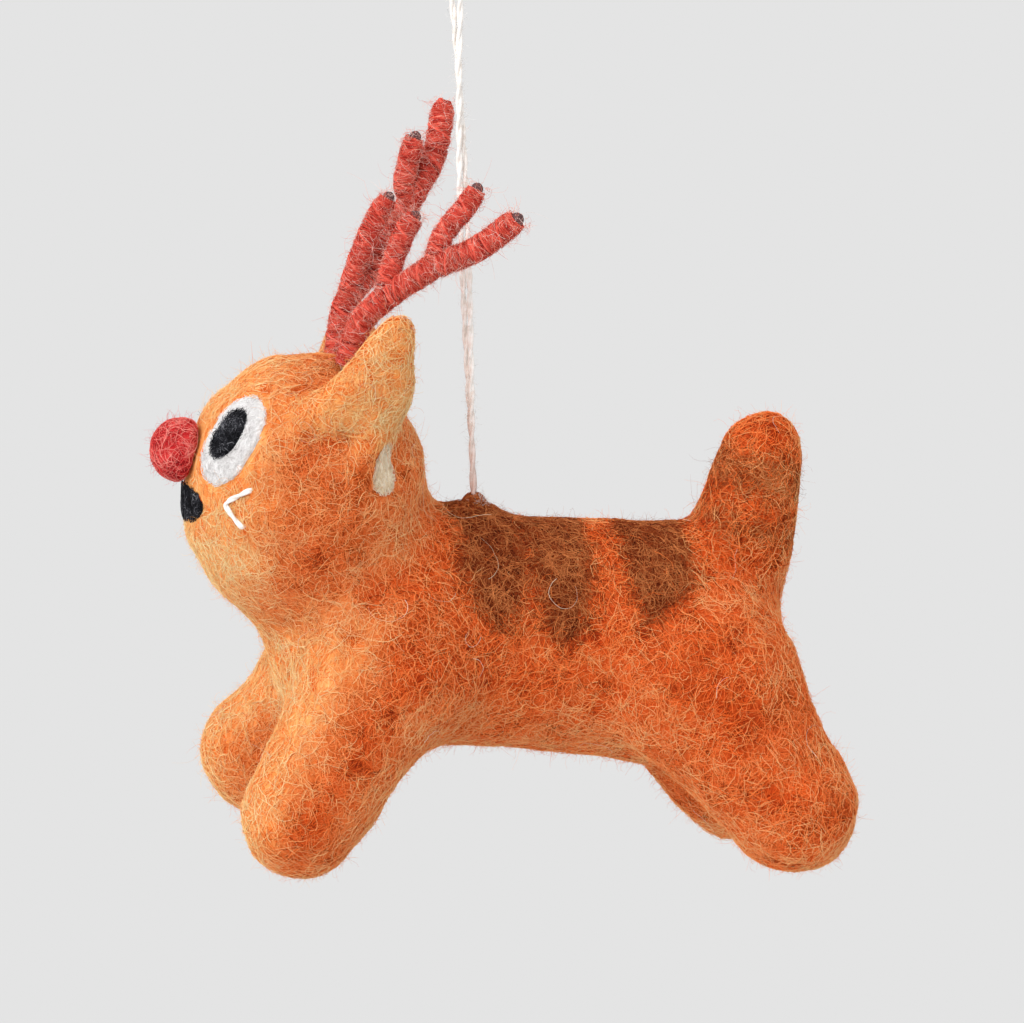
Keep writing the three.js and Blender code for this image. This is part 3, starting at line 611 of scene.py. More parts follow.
# Yarn that is stained by the wool near the knot
def cord_material():
    material = wool("cord_yarn", YARN_WHITES, 900, 0.4, 0.2)
    tree = material.node_tree
    shader = tree.nodes["Principled BSDF"]
    clean = shader.inputs["Base Color"].links[0].from_socket
    height = add_node(tree, "SeparateXYZ", {"Vector": object_spot(tree)}).outputs["Z"]
    fade = {"Value": height, "From Min": STAIN_TOP, "From Max": STAIN_END, "To Max": STAIN_SHARE}
    share = add_node(tree, "MapRange", fade).outputs["Result"]
    feed(tree, shader, {"Base Color": mixed(tree, share, clean, (*linear(STAIN), 1))})
    return material


skins = {colour: wool(f"{colour}_felt", *look) for colour, look in SKIN_LOOKS.items()}
wools = {colour: wool(f"{colour}_fibres", *look) for colour, look in FIBRE_LOOKS.items()}
red_yarn = wool("red_yarn", YARN_REDS, 900, 0.2, 0.6)
red_fuzz = wool("red_yarn_fuzz", FUZZ_REDS, 500, 0.1)
white_yarn = wool("white_yarn", YARN_WHITES, 900, 0.4, 0.5)
white_fuzz = wool("white_yarn_fuzz", YARN_WHITES, 500, 0.1)
cord_yarn = cord_material()
wire = wire_material()


# Hanging cord: one yarn up from the knot, round the loop and down again

def cord_route():
    def strand(turned):
        for down, turn, spread in CORD_SPOTS:
            angle = math.radians(turn + turned)
            reach = STRAND_REACH * spread
            yield reach * math.cos(angle), reach * math.sin(angle), -down * MM

    top = (0, 0, CORD_DIAMETER / 2)
    return smooth_route([*[*strand(0)][::-1], top, *strand(180)], CORD_STEP)


def cord_fuzz(route):
    pick = rng.integers(0, len(route), CORD_HAIRS)
    out = unit(rng.normal(size=(CORD_HAIRS, 3)))
    starts = route[pick] + out * 0.3 * MM
    heading = unit(out + 1.4 * rng.normal(size=(CORD_HAIRS, 3)) * np.array([0.5, 0.5, 1]))
    return free_hairs(starts, heading, rng.uniform(0.8, 2.2, CORD_HAIRS) * MM, 0.5)


def add_cord():
    cord_path = cord_route()
    cord = add_piece("hanging_cord_yarn", *plied(cord_path, *CORD_PLIES), cord_yarn, "cord")
    stand_for("hanging_cord")
    cord_hairs = add_hairs("hanging_cord_fuzz", cord_fuzz(cord_path), HAIR_RADIUS, white_fuzz, "cord")
    length_of(cord_path)


add_cord()


# The knot, tied on the back
def add_knot():
    t = np.linspace(0, 2 * math.pi, 120)
    x, y, z = np.sin(t) + 2 * np.sin(2 * t), np.cos(t) - 2 * np.cos(2 * t), -2.2 * np.sin(3 * t)
    route = np.stack([x, y, z], axis=1) * 0.4 * MM + KNOT
    knot = add_piece("hanging_knot_yarn", *plied(route, *KNOT_PLIES), cord_yarn, "knot")
    stand_for("hanging_knot")
    out = unit(np.abs(rng.normal(size=(KNOT_HAIRS, 3))) * np.array([1, -1, 0.6]))
    heading = unit(out + 0.7 * rng.normal(size=(KNOT_HAIRS, 3)))
    paths = free_hairs(KNOT + 1.6 * MM * out, heading, rng.uniform(0.6, 1.8, KNOT_HAIRS) * MM, 0.5)
    add_hairs("hanging_knot_fuzz", paths, KNOT_HAIR, white_fuzz, "knot")


add_knot()


# A place on the head from its turn from the nose and its lift, with its outward direction
def head_spot(turn, lift, side):
    turn, lift = math.radians(turn), math.radians(lift)
    level = math.cos(lift)
    direction = np.array([-math.cos(turn) * level, side * math.sin(turn) * level, math.sin(lift)])
    return HEAD_MIDDLE + direction * HEAD_RADII, unit(direction / HEAD_RADII)


# Felt forms as signed distances on a grid, below 0 inside the wool

class Field:
    def __init__(self, grid, low, step):
        self.grid = grid
        self.low = low
        self.step = step

    def value(self, points):
        at = (points - self.low) / self.step
        at = np.clip(at, 0, np.array(self.grid.shape) - 1.001)
        cell = at.astype(int)
        share = at - cell
        total = np.zeros(len(points))
        for corner in np.ndindex(2, 2, 2):
            weight = np.prod(np.where(corner, share, 1 - share), axis=1)
            total += weight * self.grid[tuple((cell + corner).T)]
        return total

    def out(self, points):
        reach = 0.7 * self.step
        slopes = [self.value(points + axis * reach) - self.value(points - axis * reach) for axis in np.eye(3)]
        return unit(np.stack(slopes, axis=1))

    def settle(self, points, height=0.0, passes=2):
        for _ in range(passes):
            points = points - self.out(points) * (self.value(points) - height)[:, None]
        return points


def box_of(node):
    return [np.array(corner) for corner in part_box(node)]


def tree_of(node):
    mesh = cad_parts[node].data
    points = [vertex.co for vertex in mesh.vertices]
    return BVHTree.FromPolygons(points, [face.vertices for face in mesh.polygons])


def lattice(axes):
    return np.stack(np.meshgrid(*axes, indexing="ij"), -1)


def distances_to(node, low, shape, step):
    tree = tree_of(node)
    box_low, box_high = box_of(node)
    first = np.maximum(np.floor((box_low - GRID_REACH - low) / step).astype(int), 0)
    last = np.minimum(np.ceil((box_high + GRID_REACH - low) / step).astype(int) + 1, shape)
    axes = [low[axis] + step * np.arange(first[axis], last[axis]) for axis in range(3)]
    spots = lattice(axes)
    found = [tree.find_nearest(spot, GRID_REACH)[3] for spot in spots.reshape(-1, 3).tolist()]
    away = np.array([GRID_REACH if distance is None else distance for distance in found])
    away = away.reshape(spots.shape[:3])
    grid = np.full(shape, GRID_REACH)
    grid[tuple(slice(a, b) for a, b in zip(first, last))] = np.where(inside_of(tree, axes), -away, away)
    return grid


# Which grid spots are inside a closed mesh, from where lines along X cross it
def inside_of(tree, axes):
    inside = np.zeros([len(axis) for axis in axes], bool)
    ahead = Vector((1, 0, 0))
    for j, y in enumerate(axes[1]):
        for k, z in enumerate(axes[2]):
            x = axes[0][0] - MM
            while True:
                hit = tree.ray_cast(Vector((x, y, z)), ahead)[0]
                if hit is None:
                    break
                inside[axes[0] > hit.x, j, k] ^= True
                x = hit.x + RAY_STEP
    return inside


def blended(one, other, softness):
    softness = np.maximum(softness, LEAST_BLEND)
    share = np.maximum(softness - np.abs(one - other), 0) / softness
    return np.minimum(one, other) - share * share * softness / 4


def softened(grid, passes):
    for _ in range(passes):
        for axis, size in enumerate(grid.shape):
            wider = np.pad(grid, [(int(a == axis),) * 2 for a in range(3)], "edge")
            before, after = (wider.take(range(start, start + size), axis) for start in (0, 2))
            grid = (before + 2 * grid + after) / 4
    return grid


# The fold of an ear's rear edge down the head, as a distance, with 1 for spots behind it and 0 for others
def ear_fold(spots, side):
    nearest = np.full(spots.shape[:3], GRID_REACH)
    behind = np.zeros(spots.shape[:3])
    ends = [(*head_spot(turn, lift, side), radius * MM) for turn, lift, radius in EAR_FOLD]
    for (one, out, thick), (two, _, thin) in zip(ends, ends[1:]):
        share = np.clip((spots - one) @ (two - one) / (two - one).dot(two - one), 0, 1)
        gap = spots - one - share[..., None] * (two - one)
        away = np.linalg.norm(gap, axis=-1) - thick - share * (thin - thick)
        back = unit(np.cross(two - one, out)) * -side
        closer = away < nearest
        nearest = np.where(closer, away, nearest)
        behind = np.where(closer, np.clip(gap @ back / MM + 0.5, 0, 1), behind)
    return nearest, behind


# The forms felted together, and the distance to each form alone
def felted(forms, step, lumps, depth=0.0, mounds=()):
    boxes = np.array([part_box(node) for node in forms])
    low = boxes[:, 0].min(0) - GRID_MARGIN
    shape = tuple(np.ceil((boxes[:, 1].max(0) + GRID_MARGIN - low) / step).astype(int) + 1)
    alone = {}
    for node in forms:
        alone[node] = softened(distances_to(node, low, shape, step), 1 if node in EARS else SOFT_PASSES)
    spots = lattice([low[axis] + step * np.arange(shape[axis]) for axis in range(3)])
    grid = None
    for node, (softness, swell) in forms.items():
        form = alone[node] - swell
        if node in EARS:
            fold, behind = ear_fold(spots, EARS[node])
            form = blended(form, fold, EAR_FOLD_BLEND)
            softness = softness * (1 - 0.85 * behind)
        grid = form if grid is None else blended(grid, form, softness)
    for middle, radii in mounds:
        mound = np.linalg.norm((spots - middle) / radii, axis=-1) - 1
        grid = blended(grid, mound * radii.min(), MOUND_BLEND)
    grid = softened(grid, 1) + depth
    for height, cell, seed in lumps:
        grid = grid + height * bumps(spots, cell, seed)
    return Field(grid, low, step), {node: Field(each, low, step) for node, each in alone.items()}


# The surface of a field: one point in each cell that it passes through, and triangles between them
def surface_of(field):
    grid = field.grid
    inside = grid < 0
    shape = np.array(grid.shape) - 1
    corners = [*np.ndindex(2, 2, 2)]
    parts = [tuple(slice(c, c + size) for c, size in zip(corner, shape)) for corner in corners]
    filled = sum(inside[part].astype(int) for part in parts)
    cells = np.argwhere((filled > 0) & (filled < 8))
    index = np.full(shape, -1)
    index[tuple(cells.T)] = np.arange(len(cells))
    total = np.zeros((len(cells), 3))
    crossings = np.zeros(len(cells))
    for start in corners:
        for axis in range(3):
            if start[axis]:
                continue
            end = tuple(1 if a == axis else start[a] for a in range(3))
            one, two = (grid[tuple((cells + corner).T)] for corner in (start, end))
            crosses = (one < 0) != (two < 0)
            share = np.where(crosses, one / np.where(crosses, one - two, 1), 0)
            total += crosses[:, None] * (np.array(start) + share[:, None] * np.eye(3)[axis])
            crossings += crosses
    points = field.low + field.step * (cells + total / crossings[:, None])
    quads = []
    steps = np.eye(3, dtype=int)
    for axis in range(3):
        b, c = steps[(axis + 1) % 3], steps[(axis + 2) % 3]
        near, far = (inside.take(range(start, start + shape[axis]), axis) for start in (0, 1))
        for turned in (False, True):
            spots = np.argwhere((near != far) & (far == turned))
            around = (spots - b - c, spots - c, spots, spots - b)
            quad = np.stack([index[tuple(cell.T)] for cell in around], axis=1)
            quads.append(quad[:, ::-1] if turned else quad)
    return field.settle(points), triangles_of(np.vstack(quads))


# The open edges of some triangles, each in its triangle's direction
def open_edges(faces):
    ahead = np.vstack([faces[:, [0, 1]], faces[:, [1, 2]], faces[:, [2, 0]]])
    size = faces.max() + 1
    codes, counts = np.unique(ahead[:, 0] * size + ahead[:, 1], return_counts=True)
    reverse = codes % size * size + codes // size
    place = np.minimum(np.searchsorted(codes, reverse), len(codes) - 1)
    matched = np.where(codes[place] == reverse, counts[place], 0)
    codes = np.repeat(codes, np.maximum(counts - matched, 0))
    return np.stack([codes // size, codes % size], axis=1)


def compact(points, faces):
    used, faces = np.unique(faces, return_inverse=True)
    return used, points[used], faces.reshape(-1, 3)


# Closes each hole of a skin with a fan to its middle, which lies inside the wool
def closed(points, faces):
    after = {}
    for a, b in open_edges(faces):
        after.setdefault(a, []).append(b)
    middles, fans = [], []
    while after:
        start = next(iter(after))
        loop = [start]
        while True:
            here = loop[-1]
            following = after[here].pop()
            if not after[here]:
                del after[here]
            if following == start:
                break
            loop.append(following)
        middle = len(points) + len(middles)
        middles.append(points[loop].mean(0))
        fans += [(b, a, middle) for a, b in zip(loop, loop[1:] + loop[:1])]
    return np.vstack([points, middles]), np.vstack([faces, fans])


felt, alone = felted(FORMS, GRID_STEP, FELT_LUMPS, FELT_DEPTH, MOUNDS)
skin_points, skin_faces = surface_of(felt)
skin_normals = felt.out(skin_points)
face_middles = skin_points[skin_faces].mean(1)
face_owner = np.argmin([alone[node].value(face_middles) for node in FORM_NAMES], axis=0)


# The shade and the painted light of the orange wool. It has soft patches, and small dark pits of painted
# shade as in needle holes. Painted light makes it lighter under the cat and at its rear, and lighter and
# yellower most on the front of the cat where it faces the key light, on its head and on its ears
def felt_tones_with_painted_light(spots, normals, owner):
    under = np.clip(-normals[:, 2], 0, 1)
    rear = np.clip(normals[:, 0], 0, 1)
    front = np.clip(-0.85 * normals[:, 0] + 0.35 * normals[:, 2], 0, 1)
    front = front * np.clip((8 * MM - spots[:, 0]) / (20 * MM), 0.1, 1)
    on_head = owner == FORM_NAMES.index("head")
    on_ear = np.isin(owner, [FORM_NAMES.index(ear) for ear in EARS])
    parts = HEAD_PAINTED_LIGHT * on_head + (EAR_PAINTED_LIGHT + EAR_SIDE_PAINTED_LIGHT * np.abs(normals[:, 1])) * on_ear
    soft = 0.1 * bumps(spots, *PAINTED_LIGHT_WAVE)
    painted_light = np.clip(FRONT_PAINTED_LIGHT * front + UNDER_PAINTED_LIGHT * under + REAR_PAINTED_LIGHT * rear + parts + soft, 0, 1)
    patchy = sum(height * bumps(spots, cell, seed) for height, cell, seed in PATCHY)
    pit_shade = 1.6 * np.clip(bumps(spots, *PAINTED_PIT_SHADE) - 0.45, 0, 0.4)
    return MEAN_SHADE + PAINTED_LIGHT_LIFT * painted_light + UNDER_PAINTED_LIFT * under + REAR_PAINTED_LIFT * rear + patchy - pit_shade, painted_light


def add_skins():
    for number, node in enumerate(FORM_NAMES):
        used, points, faces = compact(skin_points, skin_faces[face_owner == number])
        points, faces = closed(points, faces)
        extra = len(points) - len(used)
        normals = np.vstack([skin_normals[used], np.tile([0.0, 0.0, 1.0], (extra, 1))])
        # The skin gets the painted light of the orange wool too
        tones = felt_tones_with_painted_light(points, normals, np.full(len(points), number))
        piece = add_piece(f"{node}_felt", points, faces, skins["orange"], "cat", *tones, normals=normals)
        stand_for(node)


add_skins()


# Spots spread evenly over some triangles, with the face that each lies on
def spread_over(points, faces, count):
    a, b, c = (points[faces[:, i]] for i in range(3))
    areas = np.linalg.norm(np.cross(b - a, c - a), axis=1)
    pick = rng.choice(len(faces), count, p=areas / areas.sum())
    u, v = rng.random((2, count))
    over = u + v > 1
    u, v = np.where(over, 1 - u, u)[:, None], np.where(over, 1 - v, v)[:, None]
    return a[pick] + u * (b - a)[pick] + v * (c - a)[pick], pick


# Paths of fibres matted into a surface: each wanders over it at its own height, and its end may rise
def matted(field, starts, length, wander, middle, rise=0.0, steps=FIBRE_STEPS):
    count = len(starts)
    normal = field.out(starts)
    heading = unit(np.cross(normal, rng.normal(size=(count, 3))))
    curl = rng.normal(0, wander, count)
    phase = rng.uniform(0, 2 * math.pi, count)
    swing = rng.uniform(0.4, 1.1, count)
    paths = np.empty((count, steps, 3))
    place = field.settle(starts, middle, 1)
    for step in range(steps):
        paths[:, step] = place
        angle = (curl + rng.normal(0, wander, count))[:, None]
        heading = heading * np.cos(angle) + np.cross(normal, heading) * np.sin(angle)
        place = place + heading * (length / (steps - 1))[:, None]
        normal = field.out(place)
        height = middle + FIBRE_WAVE * np.sin(phase + swing * (step + 1)) + rise * (step / (steps - 1)) ** 3
        place = place - normal * (field.value(place) - height)[:, None]
        heading = unit(heading - normal * (heading * normal).sum(1, keepdims=True))
    return paths, normal


# Points along the edges of a node where its surface turns sharply
def rim_of(node):
    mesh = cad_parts[node].data
    mesh.calc_loop_triangles()
    corners = np.array([[mesh.vertices[i].co for i in face.vertices] for face in mesh.loop_triangles])
    normals = unit(np.cross(corners[:, 1] - corners[:, 0], corners[:, 2] - corners[:, 0]))
    _, place = np.unique(np.round(corners.reshape(-1, 3) / (0.001 * MM)), axis=0, return_inverse=True)
    owners = {}
    for number, face in enumerate(place.reshape(-1, 3)):
        for side in range(3):
            edge = tuple(sorted((face[side], face[(side + 1) % 3])))
            owners.setdefault(edge, []).append((number, side))
    points = []
    for (one, side), *others in owners.values():
        if others and normals[one].dot(normals[others[0][0]]) < 0.6:
            a, b = corners[one, side], corners[one, (side + 1) % 3]
            steps = int(np.linalg.norm(b - a) / RIM_STEP) + 2
            points.append(a + np.linspace(0, 1, steps)[:, None] * (b - a))
    return np.vstack(points)


def nearest_of(points):
    tree = KDTree(len(points))
    for index, point in enumerate(points):
        tree.insert(point, index)
    tree.balance()
    return tree


# A node's outline over the felt
class Outline:
    def __init__(self, node):
        self.tree = tree_of(node)
        self.rim = nearest_of(rim_of(node))
        self.low, self.high = box_of(node)

    # How far spots lie outside it along the surface, below 0 under the node
    def distance(self, spots, normals):
        away = np.full(len(spots), OUTLINE_REACH)
        close = ((spots > self.low - OUTLINE_REACH) & (spots < self.high + OUTLINE_REACH)).all(1)
        for index in np.flatnonzero(close):
            spot, normal = Vector(spots[index]), Vector(normals[index])
            gap = self.rim.find(spot)[0] - spot
            across = (gap - normal * gap.dot(normal)).length
            hit = self.tree.ray_cast(spot - normal * 2.5 * MM, normal, 6 * MM)[0]
            away[index] = across if hit is None else -across
        return away


outlines = {node: Outline(node) for node in [*MARKS, *COVERS, "left_pupil", "right_pupil"]}


# How much of the wool at each spot is a mark's own, from 1 well inside its outline to 0 outside
def coverage(node, spots, normals):
    away = outlines[node].distance(spots, normals) + 0.7 * MM * bumps(spots, *EDGE_WAVE)
    strength, reach, fade, thinning = MARKS[node]
    share = np.clip((reach - away) / fade, 0, 1)
    thin = np.clip(0.35 + (spots[:, 2] - outlines[node].low[2]) / thinning, 0, 1)
    return strength * thin * share * share * (3 - 2 * share)


def marked_at(spots, normals):
    return np.max([coverage(node, spots, normals) for node in MARKS], axis=0)


# How far spots lie outside every piece that covers the orange wool
def off_covers(spots, normals):
    return np.min([outlines[node].distance(spots, normals) for node in COVERS], axis=0)


def fibre_shades(mean, count, spread):
    return np.clip(mean + rng.normal(0, spread, count), 0, 1)


# Orange fibres all over the cat that stay off the covered spots and mostly off the marks
def add_coat():
    spots, pick = spread_over(skin_points, skin_faces, FIBRES)
    normals = felt.out(spots)
    chance = rng.random(FIBRES)
    kept = (off_covers(spots, normals) > COVER_GAP) & (chance > marked_at(spots, normals))
    spots, normals, owner, chance = spots[kept], normals[kept], face_owner[pick[kept]], chance[kept]
    count = len(spots)
    share = rng.random(count)
    rise = np.maximum(rng.normal(-0.1, 0.35, count), 0) * MM
    lengths = rng.uniform(1.6, 4.8, count) * MM
    paths, normal = matted(felt, spots, lengths, 0.3, (0.34 * share - 0.06) * MM, rise)
    kept = np.ones(count, bool)
    for step in (1, 2, 4):
        out = felt.out(paths[:, step])
        kept &= (chance > marked_at(paths[:, step], out)) & (off_covers(paths[:, step], out) > FIBRE_GAP)
    spots, normals, owner, share = spots[kept], normals[kept], owner[kept], share[kept]
    paths, normal, count = paths[kept], normal[kept], len(share)
    thick = rng.uniform(0.7, 1.3, count) * (1.2 - 0.4 * share)
    radii = FIBRE_RADIUS * thick[:, None] * np.linspace(1, 0.7, FIBRE_STEPS)
    # Painted light from the felt tones, and painted shade on fibres lower in the mat, as if shaded by those
    # above
    shade, painted_light = felt_tones_with_painted_light(spots, normals, owner)
    shade = shade + 0.1 * bumps(spots, *CLUMPS) + PAINTED_DEPTH_SHADE * (share - 0.6)
    shades = fibre_shades(shade, count, 0.16)
    for number, node in enumerate(FORM_NAMES):
        own = owner == number
        parts = (values[own] for values in (paths, radii, normal, shades))
        add_fibres(f"{node}_fibres", *parts, wools["orange"], "cat", painted_light[own])


add_coat()


# Fine hairs that stand out from the cat
def add_halo():
    spots, pick = spread_over(skin_points, skin_faces, HAIRS)
    normals = felt.out(spots)
    clear = off_covers(spots, normals) > COVER_GAP
    on_mark = marked_at(spots, normals) > 0.3
    # The hairs take the painted light of the wool they grow from
    _, painted_light = felt_tones_with_painted_light(spots, normals, face_owner[pick])
    tangent = unit(np.cross(normals, rng.normal(size=spots.shape)))
    heading = unit(tangent + normals * rng.uniform(0.1, 0.9, HAIRS)[:, None])
    paths = free_hairs(spots, heading, rng.gamma(2, 0.6, HAIRS) * MM + 0.5 * MM, 0.5)
    for number, node in enumerate(FORM_NAMES):
        own = (face_owner[pick] == number) & ~on_mark & clear
        add_hairs(f"{node}_fuzz", paths[own], HAIR_RADIUS, wools["orange"], "cat", (0.6, 0.2), painted_light[own])
    add_hairs("stripe_fuzz", paths[on_mark], HAIR_RADIUS, wools["brown"], "cat", (0.75, 0.2))


add_halo()


# Long pale fibres that lie loose on the wool
def add_strays():
    spots, _ = spread_over(skin_points, skin_faces, STRAYS)
    spots = spots[off_covers(spots, felt.out(spots)) > 3 * MM]
    count = len(spots)
    height = np.full(count, 0.4 * MM)
    paths, _ = matted(felt, spots, rng.uniform(4, 12, count) * MM, 0.12, height, steps=STRAY_STEPS)
    kept = np.ones(count, bool)
    for step in range(STRAY_STEPS):
        kept &= off_covers(paths[:, step], felt.out(paths[:, step])) > 0.3 * MM
    add_hairs("stray_fibres", paths[kept], THICK_HAIR, wools["cream"], "cat")


add_strays()


# Patches, stripes and bands felted onto the surface

def refined(points, faces):
    edges = np.sort(np.vstack([faces[:, [0, 1]], faces[:, [1, 2]], faces[:, [2, 0]]]), axis=1)
    pairs, place = np.unique(edges, axis=0, return_inverse=True)
    middles = felt.settle(points[pairs].mean(1), 0, 1)
    ab, bc, ca = place.reshape(3, -1) + len(points)
    a, b, c = faces.T
    parts = [(a, ab, ca), (ab, b, bc), (ca, bc, c), (ab, bc, ca)]
    return np.vstack([points, middles]), np.vstack([np.stack(part, axis=1) for part in parts])


# The part of a triangle mesh where a value at its points is below 0, cut along the line where it is 0
def clipped(points, faces, values):
    below = values < 0
    count = below[faces].sum(1)
    made, extra, cut = {}, [], []

    def crossing(one, two):
        one, two = sorted((one, two))
        if (one, two) not in made:
            share = values[one] / (values[one] - values[two])
            made[one, two] = len(points) + len(extra)
            extra.append(points[one] + share * (points[two] - points[one]))
        return made[one, two]

    for face in faces[(count == 1) | (count == 2)]:
        flags = below[face]
        lone = int(np.argmax(flags)) if flags.sum() == 1 else int(np.argmin(flags))
        a, b, c = np.roll(face, -lone)
        ab, ca = crossing(a, b), crossing(a, c)
        if below[a]:
            cut.append((a, ab, ca))
        else:
            cut += [(ab, b, c), (ab, c, ca)]
    everything = np.vstack([faces[count == 3], np.array(cut).reshape(-1, 3)])
    return compact(np.vstack([points, np.array(extra).reshape(-1, 3)]), everything)[1:]


def near_faces(node):
    low, high = box_of(node)
    near = ((skin_points > low - PATCH_MARGIN) & (skin_points < high + PATCH_MARGIN)).all(1)
    return compact(skin_points, skin_faces[near[skin_faces].all(1)])[1:]


# The skin of a patch, raised with a round edge
def add_patch_skin(node, material, slot, raise_by, edge, ragged, growth=0.0):
    points, faces = near_faces(node)
    for _ in range(2):
        points, faces = refined(points, faces)
    values = outlines[node].distance(points, felt.out(points)) - growth + ragged * bumps(points, *EDGE_WAVE)
    points, faces = clipped(points, faces, values)
    a, b = open_edges(faces).T
    rim = nearest_of(points[a])
    share = np.clip(np.array([rim.find(point)[2] for point in points]) / edge, 0, 1)
    height = (raise_by + PATCH_SINK) * np.sqrt(1 - (1 - share) ** 2) - PATCH_SINK
    normals = felt.out(points)
    top = points + normals * height[:, None]
    bottom = points - normals * PATCH_ROOT
    size = len(points)
    wall = triangles_of(np.stack([b, a, a + size, b + size], axis=1))
    everything = np.vstack([faces, faces[:, ::-1] + size, wall])
    piece = add_piece(f"{node}_felt", np.vstack([top, bottom]), everything, material, "cat")
    stand_for(node)
    return top, faces


def add_matted(node, paths, normal, material, shade=0.0):
    count, steps, _ = paths.shape
    radii = FIBRE_RADIUS * rng.uniform(0.6, 1.2, (count, 1)) * np.linspace(1, 0.7, steps)
    shades = fibre_shades(0.5 + 0.15 * bumps(paths[:, 0], *PATCH_WAVE) + shade, count, 0.2)
    add_fibres(f"{node}_fibres", paths, radii, normal, shades, material, "cat")


# A patch with a clear outline, as fibres over its skin that may stay clear of another patch
def add_patch(node, colour, raise_by, ragged, count, lengths, overhang, avoid=None):
    top, faces = add_patch_skin(node, skins[colour], f"{colour}_felt", raise_by, PATCH_EDGE, ragged)
    spots, _ = spread_over(top, faces, count)
    lift = np.maximum(felt.value(spots), 0) + rng.uniform(0, 0.1, count) * MM
    height = rng.uniform(0, 0.12, count) * MM
    paths, normal = matted(felt, spots, rng.uniform(*lengths, count) * MM, 0.4, height)
    paths = paths + felt.out(spots)[:, None] * lift[:, None, None]
    inside = np.ones(count, bool)
    for step in range(FIBRE_STEPS):
        out = felt.out(paths[:, step])
        inside &= outlines[node].distance(paths[:, step], out) < overhang
        if avoid:
            inside &= outlines[avoid].distance(paths[:, step], out) > FIBRE_GAP
    add_matted(node, paths[inside], normal[inside], wools[colour])
    return top, faces


# A mark whose wool thins out over its edge
def add_mark(node):
    skin, count, shade = MARK_LOOKS[node.split("_")[-1]]
    add_patch_skin(node, skins[skin], "brown_felt", *MARK_SKIN)
    spots, _ = spread_over(*near_faces(node), count)
    kept = rng.random(count) < coverage(node, spots, felt.out(spots))
    share = rng.random(kept.sum())
    length = rng.uniform(1.5, 5, len(share)) * MM
    paths, normal = matted(felt, spots[kept], length, 0.32, (0.34 * share - 0.04) * MM)
    # Painted shade: fibres lower in the mat are darker, as if shaded by those above
    add_matted(node, paths, normal, wools["brown"], 0.8 * (share - 0.45) + shade)


def add_patches():
    pupils = {}
    for side in SIDES:
        add_patch(f"{side}_eye_white", *EYE_WHITE, f"{side}_pupil")
        pupils[side] = add_patch(f"{side}_pupil", *PUPIL)
        add_patch(f"{side}_ear_lining", *EAR_LINING)
    for side, pupil in pupils.items():
        spots, _ = spread_over(*pupil, PUPIL_HAIRS)
        heading = unit(felt.out(spots) + 1.1 * rng.normal(size=spots.shape))
        paths = free_hairs(spots, heading, rng.uniform(0.5, 1.8, PUPIL_HAIRS) * MM, 0.5)
        add_hairs(f"{side}_pupil_fuzz", paths, THICK_HAIR, wools["black"], "cat")
    add_patch("mouth_patch", *MOUTH)


for node in MARKS:
    add_mark(node)
add_patches()


# Wool drawn up round the knot
def add_knot_wool():
    low = KNOT - KNOT_WOOL_REACH
    steps = KNOT_WOOL_STEP * np.arange(round(2 * KNOT_WOOL_REACH / KNOT_WOOL_STEP) + 1)
    around = np.linalg.norm(lattice([start + steps for start in low]) - KNOT, axis=-1)
    ball = Field(around - KNOT_WOOL_RADIUS, low, KNOT_WOOL_STEP)
    out = unit(rng.normal(size=(KNOT_FIBRES, 3)))
    starts = KNOT + out[(out[:, 2] > 0) & (out[:, 2] < 0.9)] * KNOT_WOOL_RADIUS
    count = len(starts)
    height = rng.uniform(0, 0.3, count) * MM
    paths, normal = matted(ball, starts, rng.uniform(1.2, 3.2, count) * MM, 0.3, height)
    add_matted("knot_wool", paths, normal, wools["brown"], 0.3)


add_knot_wool()


# The nose, a felt ball
def add_nose():
    ball, _ = felted({"nose_ball": (0, 0)}, NOSE_STEP, NOSE_LUMPS)
    points, faces = surface_of(ball)
    piece = add_piece("nose_ball_felt", points, faces, skins["red"], "cat", normals=ball.out(points))
    stand_for("nose_ball")
    spots, _ = spread_over(points, faces, NOSE_FIBRES)
    share = rng.random(NOSE_FIBRES)
    lengths = rng.uniform(1.5, 4.5, NOSE_FIBRES) * MM
    paths, normal = matted(ball, spots, lengths, 0.32, (0.2 * share - 0.04) * MM)
    # Painted shade: fibres lower in the mat are darker, as if shaded by those above
    add_matted("nose_ball", paths, normal, wools["red"], PAINTED_DEPTH_SHADE * (share - 0.5))
    spots, _ = spread_over(points, faces, NOSE_HAIRS)
    out = ball.out(spots) * rng.uniform(0.2, 1, (NOSE_HAIRS, 1))
    heading = unit(out + 0.8 * rng.normal(size=(NOSE_HAIRS, 3)))
    paths = free_hairs(spots, heading, rng.uniform(0.6, 2.4, NOSE_HAIRS) * MM, 0.4)
    add_hairs("nose_ball_fuzz", paths, HAIR_RADIUS, wools["red"], "cat")


add_nose()


# Whisker stitches, pulled through the cheek at both ends
def add_whiskers():
    for name, side in SIDES.items():
        spots = [head_spot(turn, lift, side)[0] for turn, lift in WHISKER_SPOTS]
        route = smooth_route(spots, 0.15 * MM)
        share = np.linspace(-1, 1, len(route))
        height = WHISKER_HEIGHT - WHISKER_DIP * np.clip((np.abs(share) - 0.88) / 0.12, 0, 1) ** 2
        route = felt.settle(route, height)
        piece = add_piece(f"{name}_whisker_yarn", *plied(route, *WHISKER_PLIES), white_yarn, "cat")
        stand_for(f"{name}_whisker_stitch")


add_whiskers()


# Antlers: wire wound with fine yarn

